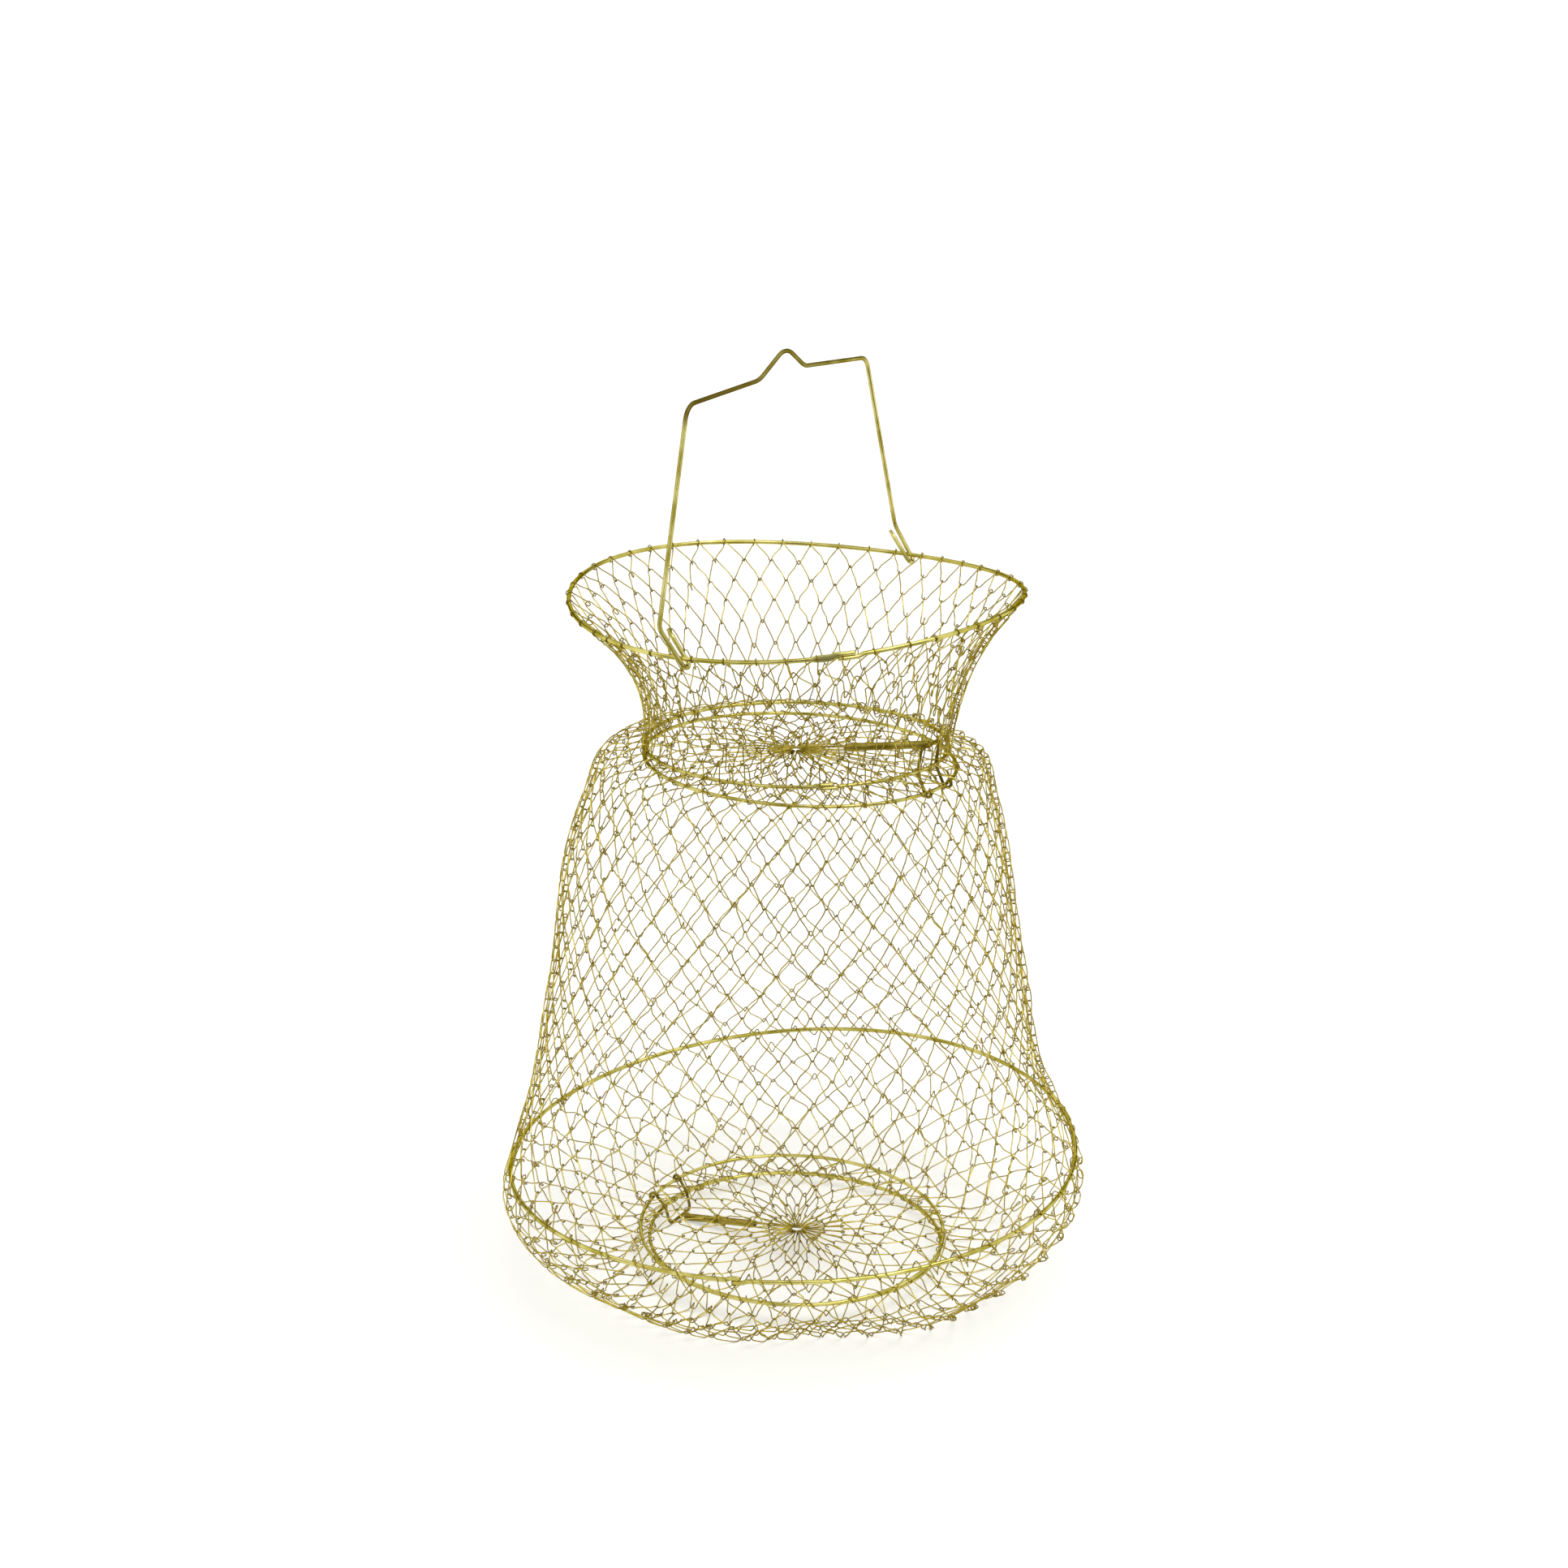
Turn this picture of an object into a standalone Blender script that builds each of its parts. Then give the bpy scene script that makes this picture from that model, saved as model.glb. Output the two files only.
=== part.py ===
"""Collapsible wire fish basket, standing open with its bail up.

Six wire hoops carry five pieces of linked wire net. The rim, the neck ring and the big hoop each
slide down towards the base ring when the basket is pressed flat. A sprung lid hangs under the neck
ring and a sprung door lies over the base ring, and both swing into the basket.

The hoops are bent by hand and hang in the net, so each is a little out of round and out of level.

Units are metres, +Z is up, and the origin is on the floor at the middle of the basket.
"""

import math

import bpy
from mathutils import Vector

# Wire thicknesses
HEAVY_WIRE = 0.0024
RING_WIRE = 0.0020
BRACKET_WIRE = 0.0015
LOOP_WIRE = 0.0008
NET_WIRE = 0.0010

# Clearances between pieces that only touch
GAP = 0.0003
EYE_PLAY = 0.0006

# Straight steps that each kind of bend is drawn with
RING_STEPS = 40
EYE_STEPS = 7
HOOK_STEPS = 6
CORNER_STEPS = 4
LOOP_STEPS = 10
COIL_TURN_STEPS = 6

# The hoops: mean radius and height of each wire's centre
RIM_RADIUS = 0.1249
RIM_HEIGHT = 0.4003
NECK_RADIUS = 0.0847
NECK_HEIGHT = 0.3154
HOOP_RADIUS = 0.1645
HOOP_HEIGHT = 0.0680
BASE_RADIUS = 0.0860
BASE_HEIGHT = 0.0094

# The lid hangs under the neck ring and the door lies over the base ring, each a little wider
LID_OVERLAP = 0.0023
LID_DROP = 0.0085
LID_RADIUS = NECK_RADIUS + LID_OVERLAP
DOOR_OVERLAP = 0.0034
DOOR_RISE = 0.0059
DOOR_RADIUS = BASE_RADIUS + DOOR_OVERLAP

# How far each hoop's centre stands off the axis, in X and Y
RIM_SHIFT = (0.0011, 0.0)
NECK_SHIFT = (0.0011, 0.0)
LID_SHIFT = (0.0033, -0.0010)
HOOP_SHIFT = (-0.0006, 0.0)
DOOR_SHIFT = (-0.0011, 0.0005)
BASE_SHIFT = (0.0008, 0.0)

# How far each hoop rises from its centre to its +X side and to its +Y side
RIM_LEAN = (0.0010, 0.0004)
NECK_LEAN = (-0.0009, -0.0021)
LID_LEAN = (-0.0040, -0.0010)
HOOP_LEAN = (0.0061, 0.0002)
DOOR_LEAN = (-0.0021, 0.0021)
BASE_LEAN = (-0.0024, -0.0022)

# The two open hoops are also saddle shaped and oval: cosine and sine parts of twice the angle
RIM_SADDLE = (0.0017, -0.0040)
RIM_OVAL = (-0.0009, 0.0003)
HOOP_SADDLE = (-0.0012, 0.0026)
HOOP_OVAL = (0.0, 0.0011)

# The net: zigzag wires, each linked to the next
NET_COLUMNS = 24
FLAP_COLUMNS = 16
LINK_LAP = 0.0030
LAYER_STEP = 0.0013
FLAT_SIDE_DROP = NET_WIRE / 4

# Where the net's edge touches each hoop: the angle round the hoop's wire, 0 being outwards
BASE_TOUCH = math.radians(0.0)
HOOP_TOUCH_BELOW = math.radians(-30.0)
HOOP_TOUCH_ABOVE = math.radians(40.0)
NECK_TOUCH_BELOW = math.radians(20.0)
NECK_TOUCH_ABOVE = math.radians(90.0)
RIM_TOUCH = math.radians(-135.0)
FLAP_TOUCH = math.radians(180.0)

# Where the net's links lie between two hoops, as shares of the way inwards and of the way up
BELLY_LINKS = [(0.165, 0.0), (0.405, 0.0), (0.696, 0.262), (0.943, 0.500), (1.044, 0.763)]
BODY_LINKS = [
    (0.092, 0.082), (0.195, 0.176), (0.274, 0.281), (0.335, 0.387), (0.400, 0.493),
    (0.439, 0.598), (0.473, 0.704), (0.522, 0.802), (0.598, 0.891), (0.689, 0.978),
    (0.835, 1.023),
]
COLLAR_LINKS = [(0.089, 0.192), (0.199, 0.371), (0.362, 0.561), (0.619, 0.780)]
FLAP_LINKS = [0.325, 0.675]

# The gathered centres of the lid and the door, and where each stands off the axis
LOOP_RADIUS = 0.0055
LID_DISH = 0.0045
LID_LOOP_SHIFT = (0.0010, 0.0)
DOOR_DISH = 0.0013
DOOR_LOOP_SHIFT = (0.0021, 0.0)

# The hinge brackets and their springs
LID_HINGE_ANGLE = math.radians(-31.0)
LID_EYE_SPREAD = 0.0222
LID_BAR_RISE = 0.0126
DOOR_HINGE_ANGLE = math.radians(150.0)
DOOR_EYE_SPREAD = 0.0264
DOOR_BAR_DROP = 0.0062
BRACKET_EYE_TURN = math.radians(250.0)
SPRING_EYE_TURN = math.radians(300.0)
COIL_START = 0.0060
COIL_LENGTH = 0.0460
COIL_RADIUS = 0.0018
COIL_TURNS = 10

# The bail's hooks: where they hold the rim, and how they lean back from upright
BAIL_LEFT_ANGLE = math.radians(242.2)
BAIL_RIGHT_ANGLE = math.radians(58.8)
BAIL_HOOK_LEAN = math.radians(36.0)
BAIL_HOOK_DROP = 0.0026
BAIL_HOOK_LENGTH = 0.0170

# How far the bail's plane stands behind its hinge line, and how far back it goes as it rises
BAIL_SETBACK = 0.0103
BAIL_SLOPE = 0.019

# The bail's bends: distance along the hinge line from the middle, height above the rim, radius
BAIL_KNEE_OUT = 0.1302
BAIL_KNEE_RISE = 0.0154
BAIL_KNEE_RADIUS = 0.0080
BAIL_TOP_OUT = 0.0964
BAIL_TOP_RISE = 0.1212
BAIL_TOP_RADIUS = 0.0080
BAIL_HUMP_START = -0.0204
BAIL_HUMP_END = 0.0255
BAIL_HUMP_FOOT_RISE = 0.1250
BAIL_HUMP_FOOT_RADIUS = 0.0120
BAIL_HUMP_MIDDLE = 0.0052
BAIL_HUMP_RISE = 0.1385
BAIL_HUMP_RADIUS = 0.0140

BRASS = (0.47, 0.37, 0.09, 1.0)
LIGHT_BRASS = (0.60, 0.50, 0.17, 1.0)
SPRING_BRASS = (0.40, 0.31, 0.08, 1.0)
WIRE_ROUGHNESS = 0.28
NET_ROUGHNESS = 0.32
PIVOT_MARK = 0.02

UP = Vector((0.0, 0.0, 1.0))


def clear_scene():
    for item in list(bpy.data.objects):
        bpy.data.objects.remove(item, do_unlink=True)


def metal(name, colour, roughness):
    """Plated wire: a metallic Principled material with the wire's own colour."""
    material = bpy.data.materials.new(name)
    material.use_nodes = True
    shader = material.node_tree.nodes["Principled BSDF"]
    shader.inputs["Base Color"].default_value = colour
    shader.inputs["Metallic"].default_value = 1.0
    shader.inputs["Roughness"].default_value = roughness
    return material


def polar(radius, angle, height):
    return Vector((radius * math.cos(angle), radius * math.sin(angle), height))


class Hoop:
    """A round wire's centre line, a little off centre, out of level and out of round.

    Its radius and height are mean values, and every other value is a small departure from them.
    """

    def __init__(self, radius, height, shift, lean=(0.0, 0.0), saddle=(0.0, 0.0), oval=(0.0, 0.0)):
        self.radius = radius
        self.height = height
        self.shift = shift
        self.lean = lean
        self.saddle = saddle
        self.oval = oval

    def departure(self, angle):
        """How far the hoop lies at an angle from a level circle round the axis."""
        cosine, sine = math.cos(angle), math.sin(angle)
        twice_cosine, twice_sine = math.cos(2 * angle), math.sin(2 * angle)
        outward = self.oval[0] * twice_cosine + self.oval[1] * twice_sine
        rise = self.lean[0] * cosine + self.lean[1] * sine
        rise += self.saddle[0] * twice_cosine + self.saddle[1] * twice_sine
        return Vector((self.shift[0] + outward * cosine, self.shift[1] + outward * sine, rise))

    def point(self, angle):
        return polar(self.radius, angle, self.height) + self.departure(angle)


RIM = Hoop(RIM_RADIUS, RIM_HEIGHT, RIM_SHIFT, RIM_LEAN, RIM_SADDLE, RIM_OVAL)
NECK = Hoop(NECK_RADIUS, NECK_HEIGHT, NECK_SHIFT, NECK_LEAN)
HOOP = Hoop(HOOP_RADIUS, HOOP_HEIGHT, HOOP_SHIFT, HOOP_LEAN, HOOP_SADDLE, HOOP_OVAL)
BASE = Hoop(BASE_RADIUS, BASE_HEIGHT, BASE_SHIFT, BASE_LEAN)
LID = Hoop(LID_RADIUS, NECK_HEIGHT - LID_DROP, LID_SHIFT, LID_LEAN)
LID_LOOP = Hoop(LOOP_RADIUS, LID.height + LID_DISH, LID_LOOP_SHIFT)
DOOR = Hoop(DOOR_RADIUS, BASE_HEIGHT + DOOR_RISE, DOOR_SHIFT, DOOR_LEAN)
DOOR_LOOP = Hoop(LOOP_RADIUS, DOOR.height - DOOR_DISH, DOOR_LOOP_SHIFT)


def path_curve(name, points, closed):
    curve = bpy.data.curves.new(name, "CURVE")
    curve.dimensions = "3D"
    spline = curve.splines.new("POLY")
    spline.points.add(len(points) - 1)
    for place, point in zip(spline.points, points):
        place.co = (point[0], point[1], point[2], 1.0)
    spline.use_cyclic_u = closed
    curve.twist_mode = "Z_UP" if closed else "MINIMUM"
    curve.use_fill_caps = not closed
    return curve


def finished(name, curve, colour, roughness):
    item = bpy.data.objects.new(name, curve)
    curve.materials.append(metal(name, colour, roughness))
    bpy.context.collection.objects.link(item)
    return item


def wire(name, points, thickness, closed=False, colour=BRASS, fine=True):
    """A bent wire with a six-sided section, or a four-sided one where fine is false."""
    curve = path_curve(name, points, closed)
    curve.bevel_depth = thickness / 2
    curve.bevel_resolution = 1 if fine else 0
    return finished(name, curve, colour, WIRE_ROUGHNESS)


def three_sided_section():
    """The light section that the net and the springs are drawn with, flat side down."""
    corners = [polar(NET_WIRE / 2, math.radians(angle), 0.0) for angle in (90, 330, 210)]
    guide = bpy.data.objects.new("net_section", path_curve("net_section", corners, True))
    guide.hide_render = True
    guide.display_type = "WIRE"
    bpy.context.collection.objects.link(guide)
    return guide


def light_wire(name, points, section, closed, colour):
    curve = path_curve(name, points, closed)
    curve.bevel_mode = "OBJECT"
    curve.bevel_object = section
    return finished(name, curve, colour, NET_ROUGHNESS)


def ring(name, hoop, thickness, steps=RING_STEPS, colour=BRASS, fine=True):
    points = [hoop.point(2 * math.pi * step / steps) for step in range(steps)]
    return wire(name, points, thickness, True, colour, fine)


def pivot(name, place, parent=None):
    """An empty on a joint's axis, which carries the pieces that move with that joint."""
    empty = bpy.data.objects.new(name, None)
    empty.empty_display_size = PIVOT_MARK
    empty.location = place
    bpy.context.collection.objects.link(empty)
    bpy.context.view_layer.update()
    if parent:
        hang(empty, parent)
    return empty


def hang(item, parent):
    """Parents a piece and leaves it where it is."""
    item.parent = parent
    item.matrix_parent_inverse = parent.matrix_world.inverted()
    bpy.context.view_layer.update()


def rounded(corners, radii):
    """A path of straight runs whose inner corners are arcs, one radius for each corner."""
    path = [corners[0]]
    for before, corner, after, radius in zip(corners, corners[1:], corners[2:], radii):
        back = (before - corner).normalized()
        ahead = (after - corner).normalized()
        half = back.angle(ahead) / 2
        reach = radius / math.tan(half)
        middle = corner + (back + ahead).normalized() * (radius / math.sin(half))
        first = corner + back * reach - middle
        last = corner + ahead * reach - middle
        swing = first.angle(last)
        for step in range(CORNER_STEPS + 1):
            share = step / CORNER_STEPS
            blend = math.sin((1 - share) * swing) * first + math.sin(share * swing) * last
            path.append(middle + blend / math.sin(swing))
    path.append(corners[-1])
    return path


# The net

def inner_side(links):
    """For each link on a section's outline, the direction into the basket."""
    sides = []
    for index in range(len(links)):
        before = links[max(index - 1, 0)]
        after = links[min(index + 1, len(links) - 1)]
        along = Vector((after[0] - before[0], after[1] - before[1])).normalized()
        sides.append(Vector((-along[1], along[0])))
    return sides


def net_rows(name, hoops, links, shares, columns, first_turn, inner_first, section):
    """Zigzag wires round the axis, one between each pair of links of the outline.

    Neighbours lie on two layers, so that each row's peaks lap over the next row's valleys. The
    first row starts on one hoop and the last one ends on the other. Where the hoops depart from
    level circles, each link follows them by its two shares, one for each hoop.
    """
    def placed(link, turn, share):
        bent = hoops[0].departure(turn) * share[0] + hoops[1].departure(turn) * share[1]
        return polar(link[0], turn, link[1]) + bent

    sides = inner_side(links)
    half = math.pi / columns
    rows = []
    for row in range(len(links) - 1):
        low = Vector(links[row])
        high = Vector(links[row + 1])
        along = (high - low).normalized()
        inward = LAYER_STEP if (row % 2 == 0) == inner_first else 0.0
        if row > 0:
            low = low + sides[row] * inward - along * LINK_LAP / 2
        if row < len(links) - 2:
            high = high + sides[row + 1] * inward + along * LINK_LAP / 2
        points = []
        for column in range(columns):
            turn = first_turn + (2 * column + row) * half
            points.append(placed(low, turn, shares[row]))
            points.append(placed(high, turn + half, shares[row + 1]))
        rows.append(light_wire(f"{name}_row_{row + 1}", points, section, True, LIGHT_BRASS))
    return rows


def beside(hoop, thickness, angle):
    """A net wire's centre where it lies against a hoop, at an angle round the hoop's wire."""
    reach = thickness / 2 + GAP + NET_WIRE / 2
    return (hoop.radius + reach * math.cos(angle), hoop.height + reach * math.sin(angle))


def between(start, end, shares):
    """Points between two places, given as shares of the way across and of the way up."""
    return [
        (start[0] + (end[0] - start[0]) * across, start[1] + (end[1] - start[1]) * up)
        for across, up in shares
    ]


def gradual(shares):
    """The two hoops' shares at each link, from all of the first one to all of the second."""
    return [(1 - share, share) for share in [0.0] + shares + [1.0]]


def belly_net(section):
    """The net under the hoop, whose second row lies flat and level on the floor."""
    links = [beside(BASE, RING_WIRE, BASE_TOUCH)]
    links += between((BASE_RADIUS, FLAT_SIDE_DROP), (HOOP_RADIUS, HOOP_HEIGHT), BELLY_LINKS)
    links.append(beside(HOOP, HEAVY_WIRE, HOOP_TOUCH_BELOW))
    shares = [(1.0, 0.0)] + [(0.0, up) for _, up in BELLY_LINKS] + [(0.0, 1.0)]
    return net_rows("belly_net", (BASE, HOOP), links, shares, NET_COLUMNS, 0.0, True, section)


def body_net(section):
    links = [beside(HOOP, HEAVY_WIRE, HOOP_TOUCH_ABOVE)]
    links += between((HOOP_RADIUS, HOOP_HEIGHT), (NECK_RADIUS, NECK_HEIGHT), BODY_LINKS)
    links.append(beside(NECK, RING_WIRE, NECK_TOUCH_BELOW))
    shares = gradual([up for _, up in BODY_LINKS])
    return net_rows("body_net", (HOOP, NECK), links, shares, NET_COLUMNS, 0.0, True, section)


def collar_net(section):
    links = [beside(NECK, RING_WIRE, NECK_TOUCH_ABOVE)]
    links += between((NECK_RADIUS, NECK_HEIGHT), (RIM_RADIUS, RIM_HEIGHT), COLLAR_LINKS)
    links.append(beside(RIM, HEAVY_WIRE, RIM_TOUCH))
    shares = gradual([up for _, up in COLLAR_LINKS])
    return net_rows("collar_net", (NECK, RIM), links, shares, NET_COLUMNS, 0.0, True, section)


def flap_net(name, flap, loop, hinge_angle, section):
    """The net of the lid or the door, from its ring in to its gathered centre."""
    outer = beside(flap, RING_WIRE, FLAP_TOUCH)
    inner = (LOOP_RADIUS + LOOP_WIRE / 2 + GAP + NET_WIRE, loop.height)
    links = [outer] + between(outer, inner, [(share, share) for share in FLAP_LINKS]) + [inner]
    return net_rows(name, (flap, loop), links, gradual(FLAP_LINKS), FLAP_COLUMNS, hinge_angle,
                    False, section)


# The hinge brackets and springs

def eye_end(flap, fixed, angle, bar_height):
    """Half of a bracket: an eye round the flap's ring, and its leg past the fixed ring."""
    centre = flap.point(angle)
    passed = fixed.point(angle)
    outward = polar(1.0, angle, 0.0)
    way = math.copysign(1.0, bar_height - centre.z)
    reach = RING_WIRE / 2 + EYE_PLAY + BRACKET_WIRE / 2
    points = []
    for step in range(EYE_STEPS + 1):
        turn = math.pi + way * BRACKET_EYE_TURN * (1 - step / EYE_STEPS)
        points.append(centre + reach * (math.cos(turn) * outward + math.sin(turn) * UP))
    inset = (passed - centre).dot(outward) - RING_WIRE / 2 - GAP - BRACKET_WIRE / 2
    leg = centre + inset * outward
    points.append(Vector((leg.x, leg.y, passed.z - way * RING_WIRE)))
    points.append(Vector((leg.x, leg.y, bar_height)))
    return points


def hinge_bracket(name, flap, fixed, hinge_angle, swing, bar_height):
    """A wire staple: both ends curl round the flap's ring, and its bar holds the spring."""
    left, right = [
        eye_end(flap, fixed, hinge_angle + side * swing, bar_height) for side in (-1, 1)
    ]
    bracket = wire(name, left + right[::-1], BRACKET_WIRE, fine=False)
    return bracket, (left[-1] + right[-1]) / 2


def hook(centre, towards, across, radius):
    """An open eye round a wire that runs square to both given directions."""
    points = []
    for step in range(EYE_STEPS + 1):
        turn = SPRING_EYE_TURN * (step / EYE_STEPS - 1)
        points.append(centre + radius * (math.cos(turn) * towards + math.sin(turn) * across))
    return points


def draw_spring(name, start, end, section):
    """A coil spring from a bracket's bar to a flap's centre loop, drawn with few turns."""
    along = (end - start).normalized()
    side = along.cross(UP).normalized()
    across = side.cross(along)
    points = hook(start, along, across, BRACKET_WIRE / 2 + GAP + NET_WIRE / 2)
    coil_steps = COIL_TURNS * COIL_TURN_STEPS
    for step in range(coil_steps + 1):
        turn = 2 * math.pi * step / COIL_TURN_STEPS
        place = start + along * (COIL_START + COIL_LENGTH * step / coil_steps)
        points.append(place + COIL_RADIUS * (math.cos(turn) * across + math.sin(turn) * side))
    points += hook(end, -along, -across, LOOP_WIRE / 2 + GAP + NET_WIRE / 2)[::-1]
    return light_wire(name, points, section, False, SPRING_BRASS)


# The bail

def bail_hook(foot, outward, lean):
    """A hook under the rim at its foot, from its tip inside the rim to its end outside."""
    reach = HEAVY_WIRE + GAP
    points = [foot - outward * reach + lean * BAIL_HOOK_LENGTH]
    for step in range(HOOK_STEPS + 1):
        turn = math.pi * step / HOOK_STEPS
        swing = -math.cos(turn) * outward - math.sin(turn) * lean
        points.append(foot - lean * BAIL_HOOK_DROP + reach * swing)
    return points


def bail_handle():
    """One bent wire: a hook round each side of the rim, and a grip with a hump in the middle."""
    left = RIM.point(BAIL_LEFT_ANGLE)
    right = RIM.point(BAIL_RIGHT_ANGLE)
    along = (right - left).normalized()
    behind = UP.cross(along).normalized()
    upright = along.cross(behind)
    lean = math.sin(BAIL_HOOK_LEAN) * behind + math.cos(BAIL_HOOK_LEAN) * upright
    left_hook = bail_hook(left, -along, lean)
    right_hook = bail_hook(right, along, lean)
    foot = (left + right) / 2 + behind * BAIL_SETBACK
    rising = upright + behind * BAIL_SLOPE
    bends = [
        (-BAIL_KNEE_OUT, BAIL_KNEE_RISE, BAIL_KNEE_RADIUS),
        (-BAIL_TOP_OUT, BAIL_TOP_RISE, BAIL_TOP_RADIUS),
        (BAIL_HUMP_START, BAIL_HUMP_FOOT_RISE, BAIL_HUMP_FOOT_RADIUS),
        (BAIL_HUMP_MIDDLE, BAIL_HUMP_RISE, BAIL_HUMP_RADIUS),
        (BAIL_HUMP_END, BAIL_HUMP_FOOT_RISE, BAIL_HUMP_FOOT_RADIUS),
        (BAIL_TOP_OUT, BAIL_TOP_RISE, BAIL_TOP_RADIUS),
        (BAIL_KNEE_OUT, BAIL_KNEE_RISE, BAIL_KNEE_RADIUS),
    ]
    corners = [foot + along * distance + rising * rise for distance, rise, _ in bends]
    radii = [radius for _, _, radius in bends]
    grip = rounded([left_hook[-1]] + corners + [right_hook[-1]], radii)
    return wire("bail_handle", left_hook[:-1] + grip + right_hook[-2::-1], HEAVY_WIRE)


def build():
    clear_scene()
    section = three_sided_section()

    base = pivot("base", Vector((0.0, 0.0, 0.0)))
    hoop = pivot("hoop_slide", Vector((0.0, 0.0, HOOP_HEIGHT)), base)
    neck = pivot("neck_slide", Vector((0.0, 0.0, NECK_HEIGHT)), hoop)
    rim = pivot("rim_slide", Vector((0.0, 0.0, RIM_HEIGHT)), neck)

    hang(ring("base_ring", BASE, RING_WIRE), base)
    hang(ring("hoop_ring", HOOP, HEAVY_WIRE), hoop)
    hang(ring("neck_ring", NECK, RING_WIRE), neck)
    hang(ring("rim_ring", RIM, HEAVY_WIRE), rim)
    for row in belly_net(section):
        hang(row, base)
    for row in body_net(section):
        hang(row, hoop)
    for row in collar_net(section):
        hang(row, neck)

    flaps = [
        ("lid", LID, LID_LOOP, NECK, LID_HINGE_ANGLE, LID_EYE_SPREAD,
         NECK_HEIGHT + LID_BAR_RISE, neck),
        ("door", DOOR, DOOR_LOOP, BASE, DOOR_HINGE_ANGLE, DOOR_EYE_SPREAD,
         BASE_HEIGHT - DOOR_BAR_DROP, base),
    ]
    for name, flap, loop, fixed, angle, spread, bar_height, carrier in flaps:
        swing = math.asin(spread / 2 / flap.radius)
        hinge_place = (flap.point(angle - swing) + flap.point(angle + swing)) / 2
        hinge = pivot(f"{name}_hinge", hinge_place, carrier)
        hang(ring(f"{name}_ring", flap, RING_WIRE), hinge)
        centre_loop = ring(f"{name}_centre_loop", loop, LOOP_WIRE, LOOP_STEPS, LIGHT_BRASS, False)
        hang(centre_loop, hinge)
        for row in flap_net(f"{name}_net", flap, loop, angle, section):
            hang(row, hinge)
        bracket, bar = hinge_bracket(f"{name}_bracket", flap, fixed, angle, swing, bar_height)
        hang(bracket, carrier)
        hang(draw_spring(f"{name}_spring", bar, loop.point(angle), section), carrier)

    bail_middle = (RIM.point(BAIL_LEFT_ANGLE) + RIM.point(BAIL_RIGHT_ANGLE)) / 2
    bail_hinge = pivot("bail_hinge", bail_middle, rim)
    hang(bail_handle(), bail_hinge)


build()
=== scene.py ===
# %% [markdown]
# A collapsible wire fish basket
#
# The real thing is steel wire with a thin brass plating. Six round hoops carry five nets of linked
# wire. A sprung lid shuts the neck, a sprung door shuts the floor, and a wire bail carries it.
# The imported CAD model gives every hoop's place and how it moves. This script dresses that frame:
# each CAD stand-in gives way to a wire worked out with numpy, from the same measures.

# %% Load the frame
import math

import bpy
import numpy as np
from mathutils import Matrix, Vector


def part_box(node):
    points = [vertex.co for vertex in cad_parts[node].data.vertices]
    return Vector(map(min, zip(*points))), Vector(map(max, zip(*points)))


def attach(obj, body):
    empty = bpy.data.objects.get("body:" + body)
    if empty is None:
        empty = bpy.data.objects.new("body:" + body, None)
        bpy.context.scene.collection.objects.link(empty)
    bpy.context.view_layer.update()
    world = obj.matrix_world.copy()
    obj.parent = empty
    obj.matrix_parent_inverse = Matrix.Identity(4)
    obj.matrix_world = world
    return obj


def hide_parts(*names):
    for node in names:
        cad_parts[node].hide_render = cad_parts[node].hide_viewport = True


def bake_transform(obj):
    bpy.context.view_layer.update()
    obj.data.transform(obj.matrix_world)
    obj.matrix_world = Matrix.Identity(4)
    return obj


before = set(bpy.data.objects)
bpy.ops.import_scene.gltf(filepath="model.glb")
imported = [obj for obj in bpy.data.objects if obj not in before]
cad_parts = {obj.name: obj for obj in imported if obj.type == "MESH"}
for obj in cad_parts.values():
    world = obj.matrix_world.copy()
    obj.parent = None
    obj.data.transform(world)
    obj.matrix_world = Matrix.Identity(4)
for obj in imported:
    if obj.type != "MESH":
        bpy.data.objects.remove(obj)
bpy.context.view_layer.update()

# %% [markdown]
# The camera
#
# A camera can be nudged by eye until the picture fits. But the hoops are nearly circles, so their
# ellipses in a photograph give the camera away: how far it stood, how high, and how long its lens
# was. These values fit six ellipses to within a pixel or two. The camera is level from side to side
# and looks down at the middle of the basket.

# %% Place the camera
CAMERA_PLACE = (-0.0058, -1.426, 0.766)
CAMERA_PITCH = math.radians(18.42)
SENSOR_WIDTH = 36.0
# The focal length in pixels of the photograph, over its width in pixels.
FOCAL_SHARE = 3314 / 1932

camera_data = bpy.data.cameras.new("camera")
camera_data.sensor_width = SENSOR_WIDTH
camera_data.lens = SENSOR_WIDTH * FOCAL_SHARE
camera = bpy.data.objects.new("camera", camera_data)
camera.location = CAMERA_PLACE
camera.rotation_euler = (math.radians(90) - CAMERA_PITCH, 0.0, 0.0)
bpy.context.scene.collection.objects.link(camera)
bpy.context.scene.camera = camera
bpy.context.scene.view_settings.view_transform = "Standard"
print("Lens in mm:", round(camera_data.lens, 2))

# %% [markdown]
# Colours and nodes
#
# Shaders take linear colours, while a colour listed in hex is sRGB, so one function turns a hex
# value to linear. A second one adds a shader node with its settings and its links.

# %% Helpers for colours and nodes
def linear(hex_colour):
    """sRGB hex to linear: small values are divided by 12.92, others follow a power of 2.4."""
    value = np.array([int(hex_colour[i:i + 2], 16) for i in (1, 3, 5)]) / 255
    curve = np.where(value <= 0.04045, value / 12.92, ((value + 0.055) / 1.055) ** 2.4)
    return (*curve.tolist(), 1.0)


def add_node(tree, kind, inputs=None, **settings):
    """Adds a node. Each input is a number, a colour or another node's output socket."""
    made = tree.nodes.new(kind)
    for name, value in settings.items():
        setattr(made, name, value)
    for name, value in (inputs or {}).items():
        if isinstance(value, bpy.types.NodeSocket):
            tree.links.new(value, made.inputs[name])
        else:
            made.inputs[name].default_value = value
    return made


print("Half of white on the screen is", round(linear("#808080")[0], 3), "of white in linear light")
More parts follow.
